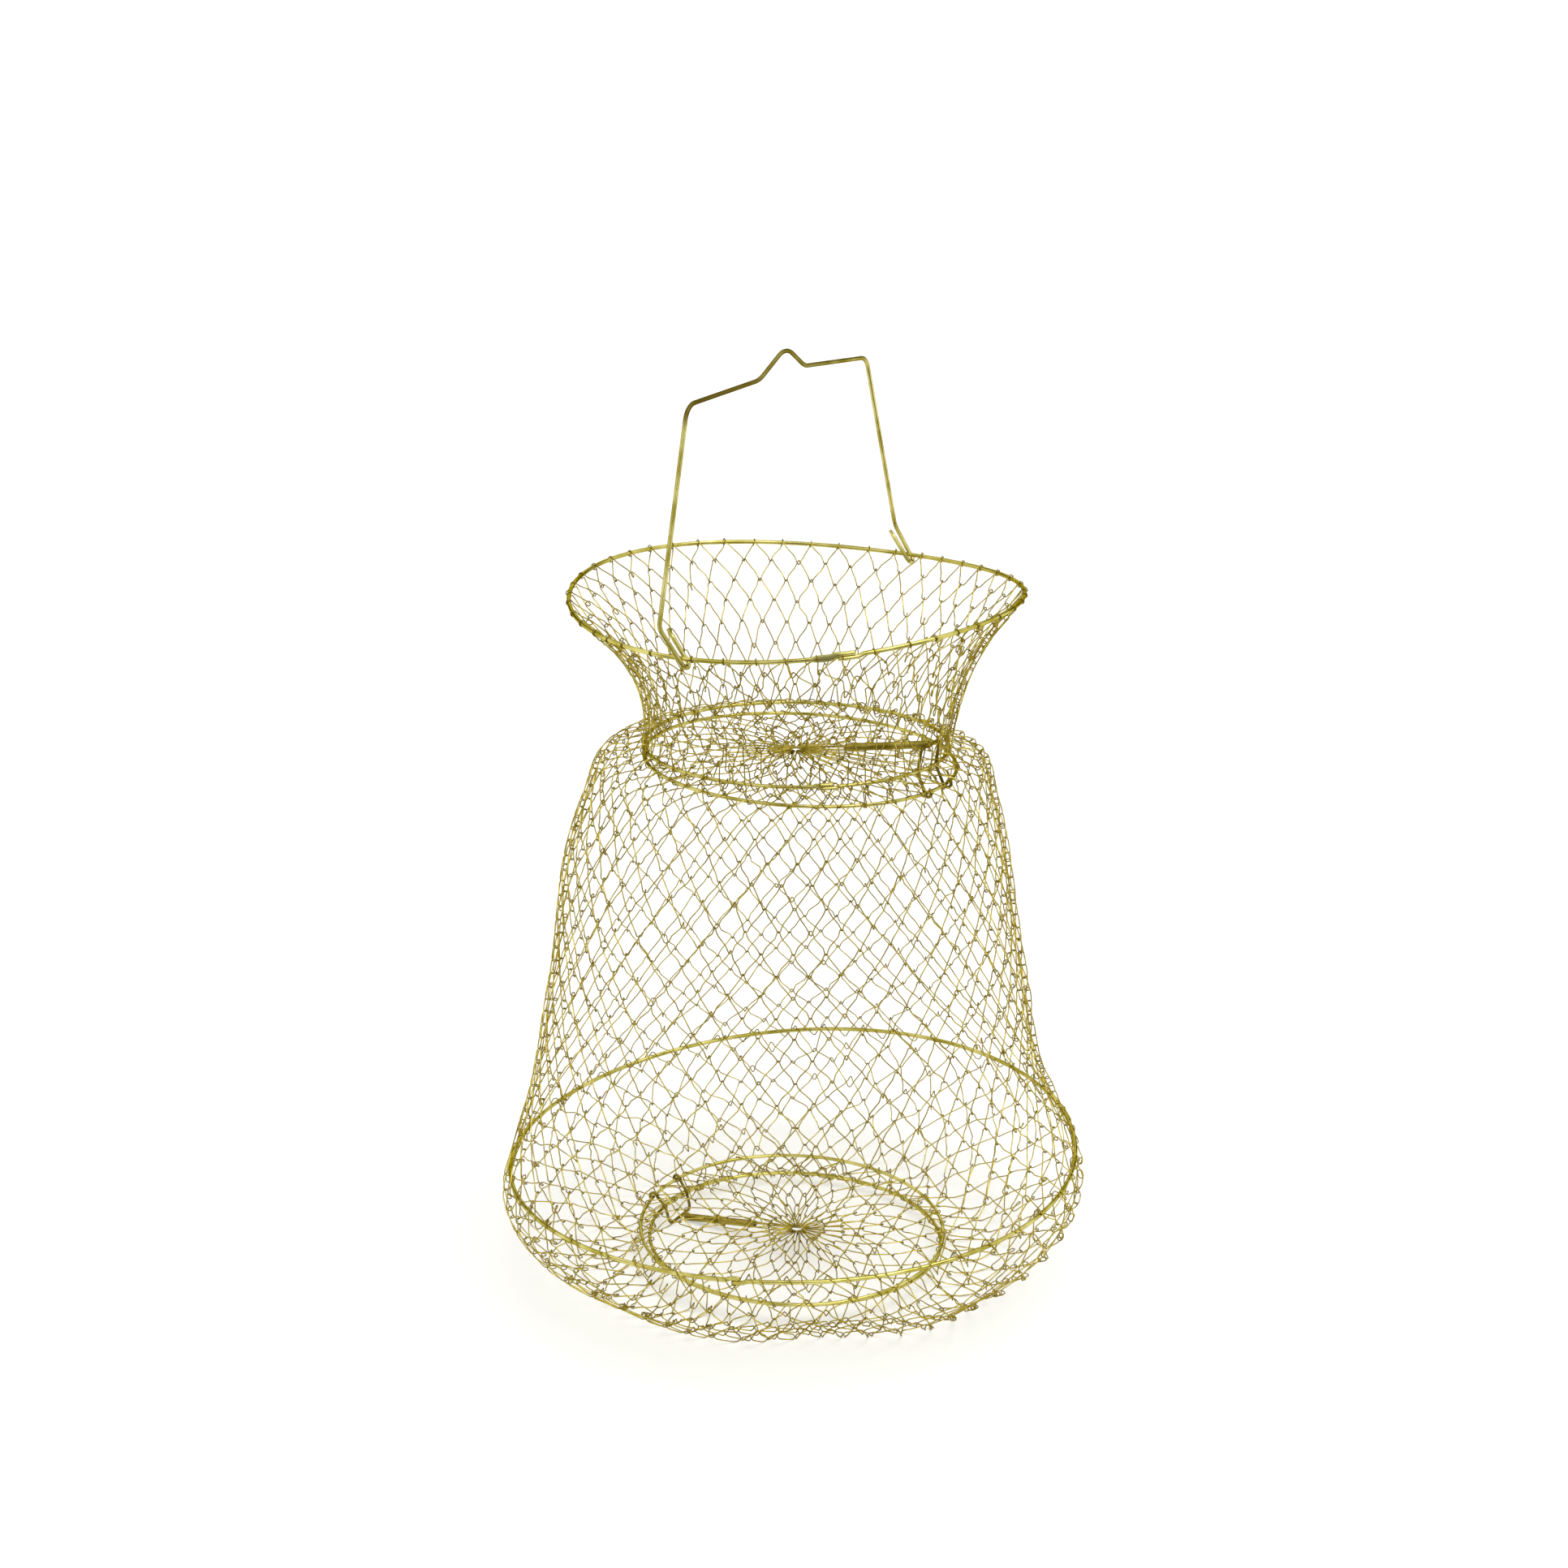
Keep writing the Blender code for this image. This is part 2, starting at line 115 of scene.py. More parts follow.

# %% [markdown]
# Brass plating
#
# The wires are mild steel, drawn through a die and then plated with brass, so they are bright metal
# with a greenish gold colour. The plating is a little darker in some places than in others, and the
# drawing leaves a fine grain. One flat gold would look like plastic, and a picture would need each
# wire unwrapped. So noise on Object coordinates gives both, at sizes in millimetres: slow blotches
# in the colour, and grain in the roughness and the height. Grain finer than a millimetre would
# hardly show, so it is drawn that coarse.
#
# Where a hoop's end was pressed flat and welded the plating is dull, and the same dull tint there
# also paints the dark reflection that a hoop's front shows. On each turn of the net wire a brown
# tint paints the shade where the turns cross, with a little rubbing of the plating over the blade,
# and on the bail's grip it paints a dark reflection. An attribute of the mesh says where that is.
# Toward their edges the wires reflect a duller tint, which a metal's specular tint gives.

# %% How a brass finish is built
# Between its two edges the blotches' noise turns the deep tint to the bright one. The grain makes
# the roughness a little lower or higher than the wire's own.
BLOTCH_EDGES = (0.36, 0.62)
SHINE_SPREAD = (-0.06, 0.08)
WORN_ROUGHNESS = 0.5
GRAIN_BUMP = 0.05
GRAIN_DEPTH = 0.0001


def brass_plate(name, tints, roughness, blotch_mm, grain_mm):
    """Plated wire: blotches mix two brass tints, and a fine grain roughens the shine.

    The four tints are deep, bright, one for painted shade and rubbed plating, and the edges' one.
    """
    deep, bright, wear_and_painted_shade, edge = (linear(tint) for tint in tints)
    material = bpy.data.materials.new(name)
    material.use_nodes = True
    tree = material.node_tree
    shader = tree.nodes["Principled BSDF"]
    place = add_node(tree, "ShaderNodeTexCoord").outputs["Object"]
    blotches = add_node(tree, "ShaderNodeTexNoise",
                        {"Vector": place, "Scale": 1000 / blotch_mm, "Detail": 3.0})
    tint = add_node(tree, "ShaderNodeValToRGB", {"Fac": blotches.outputs["Fac"]})
    for stop, position, stop_colour in zip(tint.color_ramp.elements, BLOTCH_EDGES, (deep, bright)):
        stop.position = position
        stop.color = stop_colour
    grain = add_node(tree, "ShaderNodeTexNoise",
                     {"Vector": place, "Scale": 1000 / grain_mm, "Detail": 2.0})
    shine = add_node(tree, "ShaderNodeMapRange",
                     {"Value": grain.outputs["Fac"], "To Min": roughness + SHINE_SPREAD[0],
                      "To Max": roughness + SHINE_SPREAD[1]})
    bump = add_node(tree, "ShaderNodeBump", {"Height": grain.outputs["Fac"],
                                             "Strength": GRAIN_BUMP, "Distance": GRAIN_DEPTH})
    # This attribute marks painted shade, painted dark reflection and rubbed plating alike, and
    # mixes in their tint and roughness.
    wear_and_shade = add_node(tree, "ShaderNodeAttribute", attribute_name="wear_and_painted_shade").outputs["Fac"]
    colour = add_node(tree, "ShaderNodeMix", {"Factor": wear_and_shade, "A": tint.outputs["Color"],
                                              "B": wear_and_painted_shade}, data_type="RGBA")
    rough = add_node(tree, "ShaderNodeMapRange",
                     {"Value": wear_and_shade, "To Min": shine.outputs["Result"], "To Max": WORN_ROUGHNESS})
    tree.links.new(colour.outputs["Result"], shader.inputs["Base Color"])
    tree.links.new(rough.outputs["Result"], shader.inputs["Roughness"])
    tree.links.new(bump.outputs["Normal"], shader.inputs["Normal"])
    shader.inputs["Metallic"].default_value = 1.0
    shader.inputs["Specular Tint"].default_value = edge
    print(name, "blotches", blotch_mm, "mm, grain", grain_mm, "mm, roughness", roughness)
    return material


# %% [markdown]
# The five finishes
#
# All five are electroplated brass on drawn steel, and they differ in colour, in rubbed plating and
# in painted shade. The hoops' thick wire is pale and bright. The net's thin wire and the springs'
# hard wire are browner. The bail's grip gets a painted dark reflection, and the hinge brackets are
# painted dark, as painted shade from the nets round them. Bright plating has a roughness of about
# 0.2, and dull plating about 0.3.

# %% Make the five finishes
# The third tint of each finish is the one for painted shade and rubbed plating.
hoop_brass = brass_plate("brass_plated_hoop_wire", ("#B6AB4C", "#E4DA86", "#A8A364", "#A89C4C"),
                         0.20, 14.0, 1.2)
net_brass = brass_plate("brass_plated_net_wire", ("#A28E34", "#DCCB66", "#96842E", "#9A8A3E"),
                        0.24, 9.0, 0.8)
spring_brass = brass_plate("brass_plated_spring_wire", ("#8E7E2A", "#C2B25A", "#6E5C18", "#6A5A1E"),
                           0.30, 10.0, 0.8)
# The bail's third tint is a painted dark reflection on its grip.
bail_brass = brass_plate("bail_wire_painted_reflection", ("#B0A54A", "#E4DA8A", "#6F6226", "#7A6C30"),
                         0.20, 14.0, 1.2)
# The brackets' dark tints are painted shade, as from the dense nets round them.
bracket_painted_shade_brass = brass_plate("bracket_wire_painted_shade", ("#655716", "#A08F38", "#655716", "#6A5A1E"),
                            0.30, 8.0, 0.8)

# %% [markdown]
# Wires as tubes
#
# Nearly everything here is round wire. A bevelled curve could make it, but then its section
# couldn't flatten where a wire was pressed, and no point could say how worn it is. So one function
# carries a round section along many paths at once, as whole arrays, and another one makes a piece
# of the arrays.

# %% A round wire along a path
def unit(vectors):
    """Each vector divided by its own length."""
    return vectors / np.linalg.norm(vectors, axis=-1, keepdims=True)


def tube(paths, radius, sides, guide, closed, flat=1.0):
    """Round wires along paths, an array of (wires, points, 3).

    The tangent T joins each point's two neighbours. The guide made square to T is one axis S of
    the section, and T x S is the other axis U. Corner j lies at radius * (flat cos a S
    + sin a U / flat), with a = 2 pi j / sides. The radius and the flatness may change along the
    wire. Open wires get a cap at each end.
    """
    paths = np.asarray(paths, float)
    wires, count, _ = paths.shape
    if closed:
        tangent = np.roll(paths, -1, axis=1) - np.roll(paths, 1, axis=1)
    else:
        tangent = np.gradient(paths, axis=1)
    tangent = unit(tangent)
    guide = np.broadcast_to(guide, paths.shape)
    side = unit(guide - (guide * tangent).sum(-1, keepdims=True) * tangent)
    up = np.cross(tangent, side)
    angle = 2 * np.pi * np.arange(sides) / sides
    radius = np.broadcast_to(radius, (wires, count))[:, :, None, None]
    flat = np.broadcast_to(flat, (wires, count))[:, :, None, None]
    corners = (np.cos(angle)[None, None, :, None] * side[:, :, None, :] * flat
               + np.sin(angle)[None, None, :, None] * up[:, :, None, :] / flat)
    points = (paths[:, :, None, :] + radius * corners).reshape(-1, 3)

    wire, step, corner = np.meshgrid(np.arange(wires), np.arange(count if closed else count - 1),
                                     np.arange(sides), indexing="ij")
    here = (wire * count + step) * sides
    ahead = (wire * count + (step + 1) % count) * sides
    turn = (corner + 1) % sides
    faces = np.stack([here + corner, here + turn, ahead + turn, ahead + corner], -1)
    faces = faces.reshape(-1, 4).tolist()
    if not closed:
        for index in range(wires):
            first = index * count * sides
            last = first + (count - 1) * sides
            faces.append([first + j for j in reversed(range(sides))])
            faces.append([last + j for j in range(sides)])
    return points, faces


test_wire = tube([[(0, 0, 0), (0, 0, 1)]], 0.001, 6, (1, 0, 0), False)
print("A straight test wire:", len(test_wire[0]), "points and", len(test_wire[1]), "faces")

# %% A piece from its wires
CUT_SHARE = 0.72


def wire_piece(name, tubes, material, wear_and_painted_shade=None):
    """Joins tubes into one smooth mesh object at the origin; the last argument, 0 to 1 for each
    point, says where painted shade and rubbed plating go.
    """
    points = np.concatenate([part[0] for part in tubes])
    faces = []
    start = 0
    for part_points, part_faces in tubes:
        faces += [[start + corner for corner in face] for face in part_faces]
        start += len(part_points)
    mesh = bpy.data.meshes.new(name)
    mesh.from_pydata(points.tolist(), [], faces)
    mesh.polygons.foreach_set("use_smooth", np.ones(len(faces), bool))
    if wear_and_painted_shade is not None:
        mesh.attributes.new("wear_and_painted_shade", "FLOAT", "POINT").data.foreach_set("value", wear_and_painted_shade)
    mesh.materials.append(material)
    mesh.update()
    piece = bpy.data.objects.new(name, mesh)
    bpy.context.scene.collection.objects.link(piece)
    print(name, len(faces), "faces")
    return piece


def cut_ends(count, radius):
    """A wire's radius along its path, a little smaller at both ends, as pliers leave it."""
    size = np.full(count, radius)
    size[[0, -1]] *= CUT_SHARE
    return size


# %% [markdown]
# Points round the basket
#
# The basket is round, so a place is given by a radius, an angle and a height. The angle is 0 on the
# right of the photograph and -90 degrees at its front. Two helpers make points and directions.

# %% Points round the basket
def polar(radius, angle, height):
    """Points at a radius and an angle round the basket's axis, at a height."""
    radius, angle, height = np.broadcast_arrays(radius, angle, height)
    return np.stack([radius * np.cos(angle), radius * np.sin(angle), height], -1)


def around(angle):
    """The direction in which the angle grows, square to the radius."""
    angle = np.asarray(angle, float)
    return np.stack([-np.sin(angle), np.cos(angle), np.zeros_like(angle)], -1)


print("The front of a hoop with radius 1:", polar(1.0, math.radians(-90), 0.0).round(3))

# %% [markdown]
# How the hoops are bent
#
# The hoops were bent by hand, so none is quite round or level, and the CAD rings already lean and
# sag as the real ones do. To draw finer wires that follow them, each ring's bend is read back by
# least squares: a mean, and a few slow waves round the circle.

# %% Read each hoop's bend from the CAD
class Hoop:
    """A hoop's centre line, from the waves 1, cos a, sin a, cos 2a and sin 2a.

    The ring's points lie evenly round its wire, so a fit to all of them runs along the centre.
    In the radius, the waves of a are a shift of the whole hoop, and the waves of 2a make it oval.
    """

    def __init__(self, node):
        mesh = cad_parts[node].data
        points = np.empty(3 * len(mesh.vertices))
        mesh.vertices.foreach_get("co", points)
        x, y, z = points.reshape(-1, 3).T
        measures = np.stack([np.hypot(x, y), z], -1)
        fit = np.linalg.lstsq(self.waves(np.arctan2(y, x)), measures, rcond=None)[0]
        self.radius, self.height = fit[0]
        self.shift = fit[1:3, 0]
        self.oval = fit[3:, 0]
        self.rise = fit[1:, 1]
        print(node, "radius and height in mm:", (1000 * fit[0]).round(1))

    @staticmethod
    def waves(angle):
        """The five waves at each angle, side by side."""
        angle = np.asarray(angle, float)
        return np.stack([np.ones_like(angle), np.cos(angle), np.sin(angle),
                         np.cos(2 * angle), np.sin(2 * angle)], -1)

    def departure(self, angle):
        """How far the hoop lies at an angle from a level circle round the axis."""
        waves = self.waves(angle)
        away = polar(waves[..., 3:] @ self.oval, angle, waves[..., 1:] @ self.rise)
        return away + np.array([*self.shift, 0.0])

    def point(self, angle):
        """Points on the wire's centre line: a level circle and the hoop's departure from it."""
        return polar(self.radius, angle, self.height) + self.departure(angle)


rim, neck, lid = Hoop("rim_ring"), Hoop("neck_ring"), Hoop("lid_ring")
big, door, base = Hoop("hoop_ring"), Hoop("door_ring"), Hoop("base_ring")

# %% [markdown]
# The hoops' wires
#
# Each hoop is one length of wire bent round and closed by a lap: one end is pressed flat and laid
# on the other, and the two are welded. The rim's lap shows at the front of the photograph. A torus
# has no ends to lay on each other, but a circle of a little more than a full turn has: over the lap
# the wire climbs onto its own start, and before the lap its section is taller and thinner where it
# was pressed.

# %% Make the hoops
HEAVY = 0.0024
LIGHT = 0.0020
PRESS_LENGTH = 0.013
CLIMB_LENGTH = 0.004
CLOSE_STEP = 0.0015
HOOP_STEPS = 240
HOOP_SIDES = 12


def hoop_wire(name, hoop, node, thickness, lap_degrees, lap_length, press, body):
    """A hoop from its lap round to just past it, where z rises by one wire's thickness.

    Half of that rise is the end's, and the start sinks by the other half, each as 3 t^2 - 2 t^3. A
    lap of no length closes the wire end to end. press is how much taller the pressed section is.
    """
    lap = lap_length / hoop.radius
    start = math.radians(lap_degrees)
    near_lap = 3 * PRESS_LENGTH / hoop.radius
    fine = CLOSE_STEP / hoop.radius
    closed = lap_length == 0
    angle = np.concatenate([np.arange(0, near_lap, fine),
                            np.linspace(near_lap, 2 * np.pi - near_lap, HOOP_STEPS),
                            np.arange(2 * np.pi - near_lap, 2 * np.pi + lap, fine)[1:]])
    angle += start
    before = (start + 2 * np.pi - angle) * hoop.radius
    after = (angle - start - lap) * hoop.radius
    climb, sink = np.clip(1 - np.stack([before, after]) / CLIMB_LENGTH, 0, 1)
    climb, sink = climb * climb * (3 - 2 * climb), sink * sink * (3 - 2 * sink)
    pressed = np.exp(-((before - PRESS_LENGTH / 2) / (PRESS_LENGTH / 2)) ** 4)
    path = hoop.point(angle)
    if not closed:
        path[:, 2] += thickness * 0.5 * (climb - sink)
    size = thickness / 2 if closed else cut_ends(len(path), thickness / 2)[None]
    made = tube([path], size, HOOP_SIDES, (0, 0, 1), closed, (1 + (press - 1) * pressed)[None])
    # The pressed stretch takes the dull tint: the weld's dull plating, and a painted dark
    # reflection near each hoop's front.
    dull_weld_and_painted_reflection = np.repeat(pressed * min(2 * (press - 1), 1), HOOP_SIDES)
    piece = wire_piece(name, [made], hoop_brass, dull_weld_and_painted_reflection)
    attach(piece, body)
    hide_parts(node)


# For each hoop: where its lap is in degrees, how long it is, and how tall the wire is pressed.
hoop_wire("rim_hoop", rim, "rim_ring", HEAVY, -80.7, 0.010, 1.6, "rim")
hoop_wire("neck_hoop", neck, "neck_ring", LIGHT, -81.8, 0.008, 1.2, "neck")
hoop_wire("lid_hoop", lid, "lid_ring", LIGHT, -60.0, 0, 1.1, "lid")
hoop_wire("big_hoop", big, "hoop_ring", HEAVY, -101.5, 0.005, 1.05, "hoop")
hoop_wire("door_hoop", door, "door_ring", LIGHT, -90.0, 0, 1.15, "door")
hoop_wire("base_hoop", base, "base_ring", LIGHT, -60.0, 0, 1.1, "base")

# %% [markdown]
# The nets' outlines
#
# Seen from the side, each net hangs in a curve between its two hoops. The curve is a smooth one
# through a few knots, the same as in the CAD, given as shares of the way across and of the way up.
# A circle's arc would need fewer numbers, but no arc bulges and tucks in like these nets. Where the
# hoops lean or sag, the net follows them, so each point of the outline also says how much of each
# hoop's departure it takes.

# %% The outline of a net
CURVE_STEPS = 24
OVERRUN = 0.010


class Outline:
    """A Catmull-Rom curve through rows of (radius, height, first share, last share).

    Between p1 and p2 it is half of (2 p1 + (p2 - p0) t + (2 p0 - 5 p1 + 4 p2 - p3) t^2
    + (3 p1 - p0 - 3 p2 + p3) t^3). It is run on a little past both ends, straight, because the
    net's turns reach past the hoops.
    """

    def __init__(self, rows):
        knots = np.array(rows, float)
        knots = np.vstack([2 * knots[0] - knots[1], knots, 2 * knots[-1] - knots[-2]])
        share = np.linspace(0, 1, CURVE_STEPS, endpoint=False)[None, :, None]
        p0, p1, p2, p3 = (knots[i:len(knots) - 3 + i, None, :] for i in range(4))
        curve = (2 * p1 + (p2 - p0) * share + (2 * p0 - 5 * p1 + 4 * p2 - p3) * share ** 2
                 + (3 * p1 - p0 - 3 * p2 + p3) * share ** 3) / 2
        curve = np.vstack([curve.reshape(-1, 4), knots[-2]])
        ends = [curve[0].copy(), curve[-1].copy()]
        ends[0][:2] += unit(curve[0, :2] - curve[1, :2]) * OVERRUN
        ends[1][:2] += unit(curve[-1, :2] - curve[-2, :2]) * OVERRUN
        curve = np.vstack([ends[0], curve, ends[1]])
        gone = np.linalg.norm(np.diff(curve[:, :2], axis=0), axis=1)
        along = unit(np.gradient(curve[:, :2], axis=0))
        self.distance = np.concatenate([[0], np.cumsum(gone)]) - OVERRUN
        self.columns = np.column_stack([curve, along[:, 1], -along[:, 0]])
        self.length = self.distance[-1] - OVERRUN

    def at(self, distance):
        """Radius, height, the two shares, and the direction out of the net's face."""
        return [np.interp(distance, self.distance, column) for column in self.columns.T]


def hung(start, end, knots):
    """Outline rows from one hoop to another, with knots as shares across and up."""
    rows = [(start.radius, start.height, 1.0, 0.0)]
    for across, up in knots:
        rows.append((start.radius + (end.radius - start.radius) * across,
                     start.height + (end.height - start.height) * up, 1 - up, up))
    return rows + [(end.radius, end.height, 0.0, 1.0)]


# %% [markdown]
# The nets
#
# Each row of net is one wire wound to a flat spiral on a blade, just as in a chain-link fence. A
# leg climbs on the inner face, the wire turns over the blade's edge, a leg comes down on the outer
# face, and it turns back under. The next row's spiral is screwed through the turns of the first
# one, half a column along, so the turns hook and the legs make diamonds.
#
# So a row is worked out in three flat measures: how far along the row, how far up the outline, and
# how far out of the net's middle face. The three measures are then wrapped round the outline. There
# are three kinds of turn: the knuckle that links two rows, a long loop that hangs round a hoop, and
# a tight wrap round the rim.

# %% The shape of a turn
NET_WIRE = 0.00070
PLAY = 0.00012
HEAVY_HOLD = HEAVY / 2 + NET_WIRE / 2 + PLAY
LIGHT_HOLD = LIGHT / 2 + NET_WIRE / 2 + PLAY
WRAP_ANGLES = np.radians([215.0, 170.0, 125.0, 80.0, 35.0, -15.0, -65.0, -115.0])
ARCH_ANGLE = math.radians(128)
ARCH_SPREAD = 0.6


def knuckle(half):
    """The turn over the blade's edge: a round arch from one face to the other, 2.4 mm wide."""
    return np.array([(-0.0012, -0.0018, -half), (-0.0007, -0.0004, -0.75 * half), (0, 0, 0),
                     (0.0007, -0.0004, 0.75 * half), (0.0012, -0.0018, half)])


def hanging(reach, width, half):
    """A long V or peak round a hoop: it reaches past the hoop, which lies between its legs."""
    return np.array([(-width, -reach, -half), (-0.25 * width, -0.22 * reach, -0.8 * half),
                     (0, 0, 0), (0.25 * width, -0.22 * reach, 0.8 * half),
                     (width, -reach, half)]) + (0, reach, 0)


def wrapped(hold, bulge, width):
    """Once round a hoop's wire, up inside it, over its top, down outside and in again below.

    At an angle f of the section the point lies at hold (cos f, sin f), and further off by the
    bulge where the wire arches over inside the hoop.
    """
    away = hold + bulge * np.exp(-((WRAP_ANGLES - ARCH_ANGLE) / ARCH_SPREAD) ** 2)
    return np.stack([np.linspace(-width, width, len(WRAP_ANGLES)), away * np.sin(WRAP_ANGLES),
                     away * np.cos(WRAP_ANGLES)], -1)


print("A turn lies", round(1000 * HEAVY_HOLD, 2), "mm from the middle of a heavy hoop's wire")

# %% [markdown]
# A whole net
#
# One link could be copied hundreds of times, but no two links of the real net are alike. So each
# row is drawn as one long closed wire, valley, leg, peak, leg, and on to the next column. Seeded
# noise makes the unevenness of links that were hooked by hand and then handled: the joints wander,
# in slow waves and one by one, and some turns hang loose and pass each other by a few millimetres.

# %% How uneven a net is
# The lap is how far linked turns reach past each other. A stray is the noise of each joint, turn or
# leg by itself. A wave or a stray of a joint is a share of a row's height or a column's width.
LAP = 0.0005
WAVE_COUNTS = (2, 3, 5, 8)
WAVE_PHASES = 6.28
UP_WAVES, UP_STRAY = 0.05, 0.06
ALONG_WAVES, ALONG_STRAY = 0.06, 0.05
REACH_STRAY, REACH_MOST = 0.0006, 0.0034
SWAY_STRAY = 0.0003
HOLD_STRAY = 0.2
# A turn is this share of its full width where the net is tight, and wider where it is loose. Where
# a column is narrower than TURN_ROOM, the turn is squeezed with it.
TIGHT_WIDTH, LOOSE_WIDTH = 0.8, 0.3
TURN_ROOM = 0.006
LEG_SHARES = np.array([0.25, 0.75])
LEG_BOW = np.array([-0.05, 0.05])
BOW_STRAY = 0.6
LEG_STRAY = 0.0002
print("A joint strays by about", UP_STRAY, "of a row's height and", ALONG_STRAY, "of a column")

# %% Helper for a whole net
NET_SIDES = 5


def net(name, line, hoops, rows, columns, half, holds, uneven, seed, drift=None, floor=None):
    """Rows of linked wire on an outline, as one mesh.

    A joint sits at every crossing: row boundary k, column c, at angle 2 pi c / columns, and half a
    column on where k is odd. A row's points run between its joints below and above. half is half
    of the spirals' thickness, and holds gives the turn's shape at the hoop at each end. uneven
    gives how loose the net is at an angle and a share of the way up, and drift how far it hangs
    out of the outline there, outward and up.
    """
    random = np.random.default_rng(seed)
    step = line.length / rows
    pitch = 2 * np.pi / columns
    level = np.arange(rows + 1)[:, None]
    angle = (np.arange(columns)[None, :] + 0.5 * (level % 2)) * pitch
    loose = uneven(angle, level / rows)
    held = (level == 0) | (level == rows)
    waves = sum(np.sin(n * angle + random.uniform(0, WAVE_PHASES)
                       + 0.5 * level * random.uniform(-1, 1)) for n in WAVE_COUNTS)
    lift = UP_WAVES * waves[:, ::-1] + random.normal(0, UP_STRAY, angle.shape)
    joint = step * (level + np.where(held, 0, loose * lift))
    wander = ALONG_WAVES * waves + random.normal(0, ALONG_STRAY, angle.shape)
    angle = angle + pitch * loose * wander
    reach = LAP / 2 + REACH_STRAY * random.normal(0, 1, (2, *angle.shape)) ** 2 * loose
    reach = np.minimum(reach, REACH_MOST)
    sway = random.normal(0, SWAY_STRAY, (2, *angle.shape)) * loose
    link = knuckle(half)

    def turn(level_index, order, sign):
        """Angle, distance along the outline and way out of the face, at every point of a turn."""
        if level_index in (0, rows):
            shape = holds[0 if level_index == 0 else 1]
            size = 1 + random.uniform(-HOLD_STRAY, HOLD_STRAY, columns)[:, None]
            across, up, out = (np.ones((columns, 1)) * column for column in shape.T)
            up = up * np.where(up > 0, size, 1)
        else:
            across, up, out = (np.ones((columns, 1)) * column for column in link.T)
            up = up + reach[(sign + 1) // 2, level_index, order][:, None]
            slack = TIGHT_WIDTH + LOOSE_WIDTH * loose[level_index, order]
            room = pitch * line.at(joint[level_index, order])[0] / TURN_ROOM
            across = across * (slack * np.minimum(1, room))[:, None]
        across = across + sway[(sign + 1) // 2, level_index, order][:, None]
        place = joint[level_index, order][:, None] + sign * up
        start = angle[level_index, order][:, None]
        return np.stack([start + across / line.at(place)[0], place, sign * out])

    def leg(start, end):
        """Points between the end of one turn and the start of the next, bowed like an S."""
        gone = end[:, :, :1] - start[:, :, -1:]
        made = start[:, :, -1:] + gone * LEG_SHARES
        made[0] += gone[0] * LEG_BOW * random.normal(1, BOW_STRAY, (columns, 1))
        made[0] += random.normal(0, LEG_STRAY, made[0].shape) / line.at(made[1])[0]
        return made

    def wear_and_shade(turn_points):
        """1 in the middle of a turn, less toward its ends, and 0 on the leg after it."""
        share = (np.arange(turn_points) + 0.5) / turn_points
        return np.append(np.sin(np.pi * share), np.zeros(len(LEG_SHARES)))

    tubes, wear_and_painted_shade = [], []
    for row in range(rows):
        here = np.arange(columns)
        upper = (here + row % 2) % columns
        valley = turn(row, here, -1)
        peak = turn(row + 1, upper, 1)
        peak[0] += 2 * np.pi * ((here + row % 2) // columns)[:, None]
        following = np.roll(valley, -1, axis=1)
        following[0, -1] += 2 * np.pi
        path = np.concatenate([valley, leg(valley, peak), peak, leg(peak, following)], axis=2)
        point_angle, place, out = path.reshape(3, -1)
        radius, height, first, last, out_radius, out_height = line.at(place)
        if drift is not None:
            outward, upward = drift(point_angle, np.clip(place / line.length, 0, 1))
            radius, height = radius + outward, height + upward
        points = polar(radius + out_radius * out, point_angle, height + out_height * out)
        points += hoops[0].departure(point_angle) * first[:, None]
        points += hoops[1].departure(point_angle) * last[:, None]
        if floor is not None:
            points[:, 2] = np.maximum(points[:, 2], floor)
        tubes.append(tube([points], NET_WIRE / 2, NET_SIDES, around(point_angle), True))
        # Each turn takes the tint for painted shade: shade where the turns cross and hide each
        # other, with a little rubbing of the plating where it was bent over the blade.
        column = np.append(wear_and_shade(valley.shape[-1]), wear_and_shade(peak.shape[-1]))
        wear_and_painted_shade.append(np.repeat(np.tile(column, columns), NET_SIDES))
    piece = wire_piece(name, tubes, net_brass, np.concatenate(wear_and_painted_shade))
    return piece


# %% [markdown]
# The three round nets
#
# The collar, the body and the belly hang between hoops that move, but each of them stays one still
# mesh where it is made. For each, a point past the highest point of the lower hoop and one short of
# the lowest point of the upper are worked out, and nothing uses them.
#
# No net keeps quite to its outline. A cloth simulation could find such shapes for cloth, but linked
# wire keeps the dents that hands gave it. So each net drifts from its outline by a sum of smooth
# bumps, which were fitted to the photograph's outline.

# %% Helpers for the round nets
COLUMNS = 46
NET_HALF = 0.0014
FLOOR_TOUCH = NET_WIRE / 2 + 0.00005


def rows_of(net_name, count):
    """The names of the CAD nodes that stand for a net's rows."""
    return [f"{net_name}_row_{index + 1}" for index in range(count)]


def above(hoop, margin):
    """A point on the axis above all of the hoop, or with a negative margin below all of it."""
    rises = hoop.point(np.linspace(0, 2 * np.pi, 73))[:, 2]
    return (0, 0, (rises.max() if margin > 0 else rises.min()) + margin)


def near(angle, centre, sharpness):
    """1 at an angle round the basket, falling off smoothly to 0 on the other side."""
    return ((1 + np.cos(angle - centre)) / 2) ** sharpness


def bump(share, centre, width):
    """1 at a share of the way up, falling off as exp(-t^2) with t in widths."""
    return np.exp(-((share - centre) / width) ** 2)


# %% [markdown]
# The collar
#
# This is the funnel under the rim, which the hand passes through. It is looser and more crumpled
# in front. The rows' turns wrap tightly round the rim and hang in longer loops on the neck hoop.

# %% Make the collar
COLLAR_CRUMPLE = math.radians(-75)


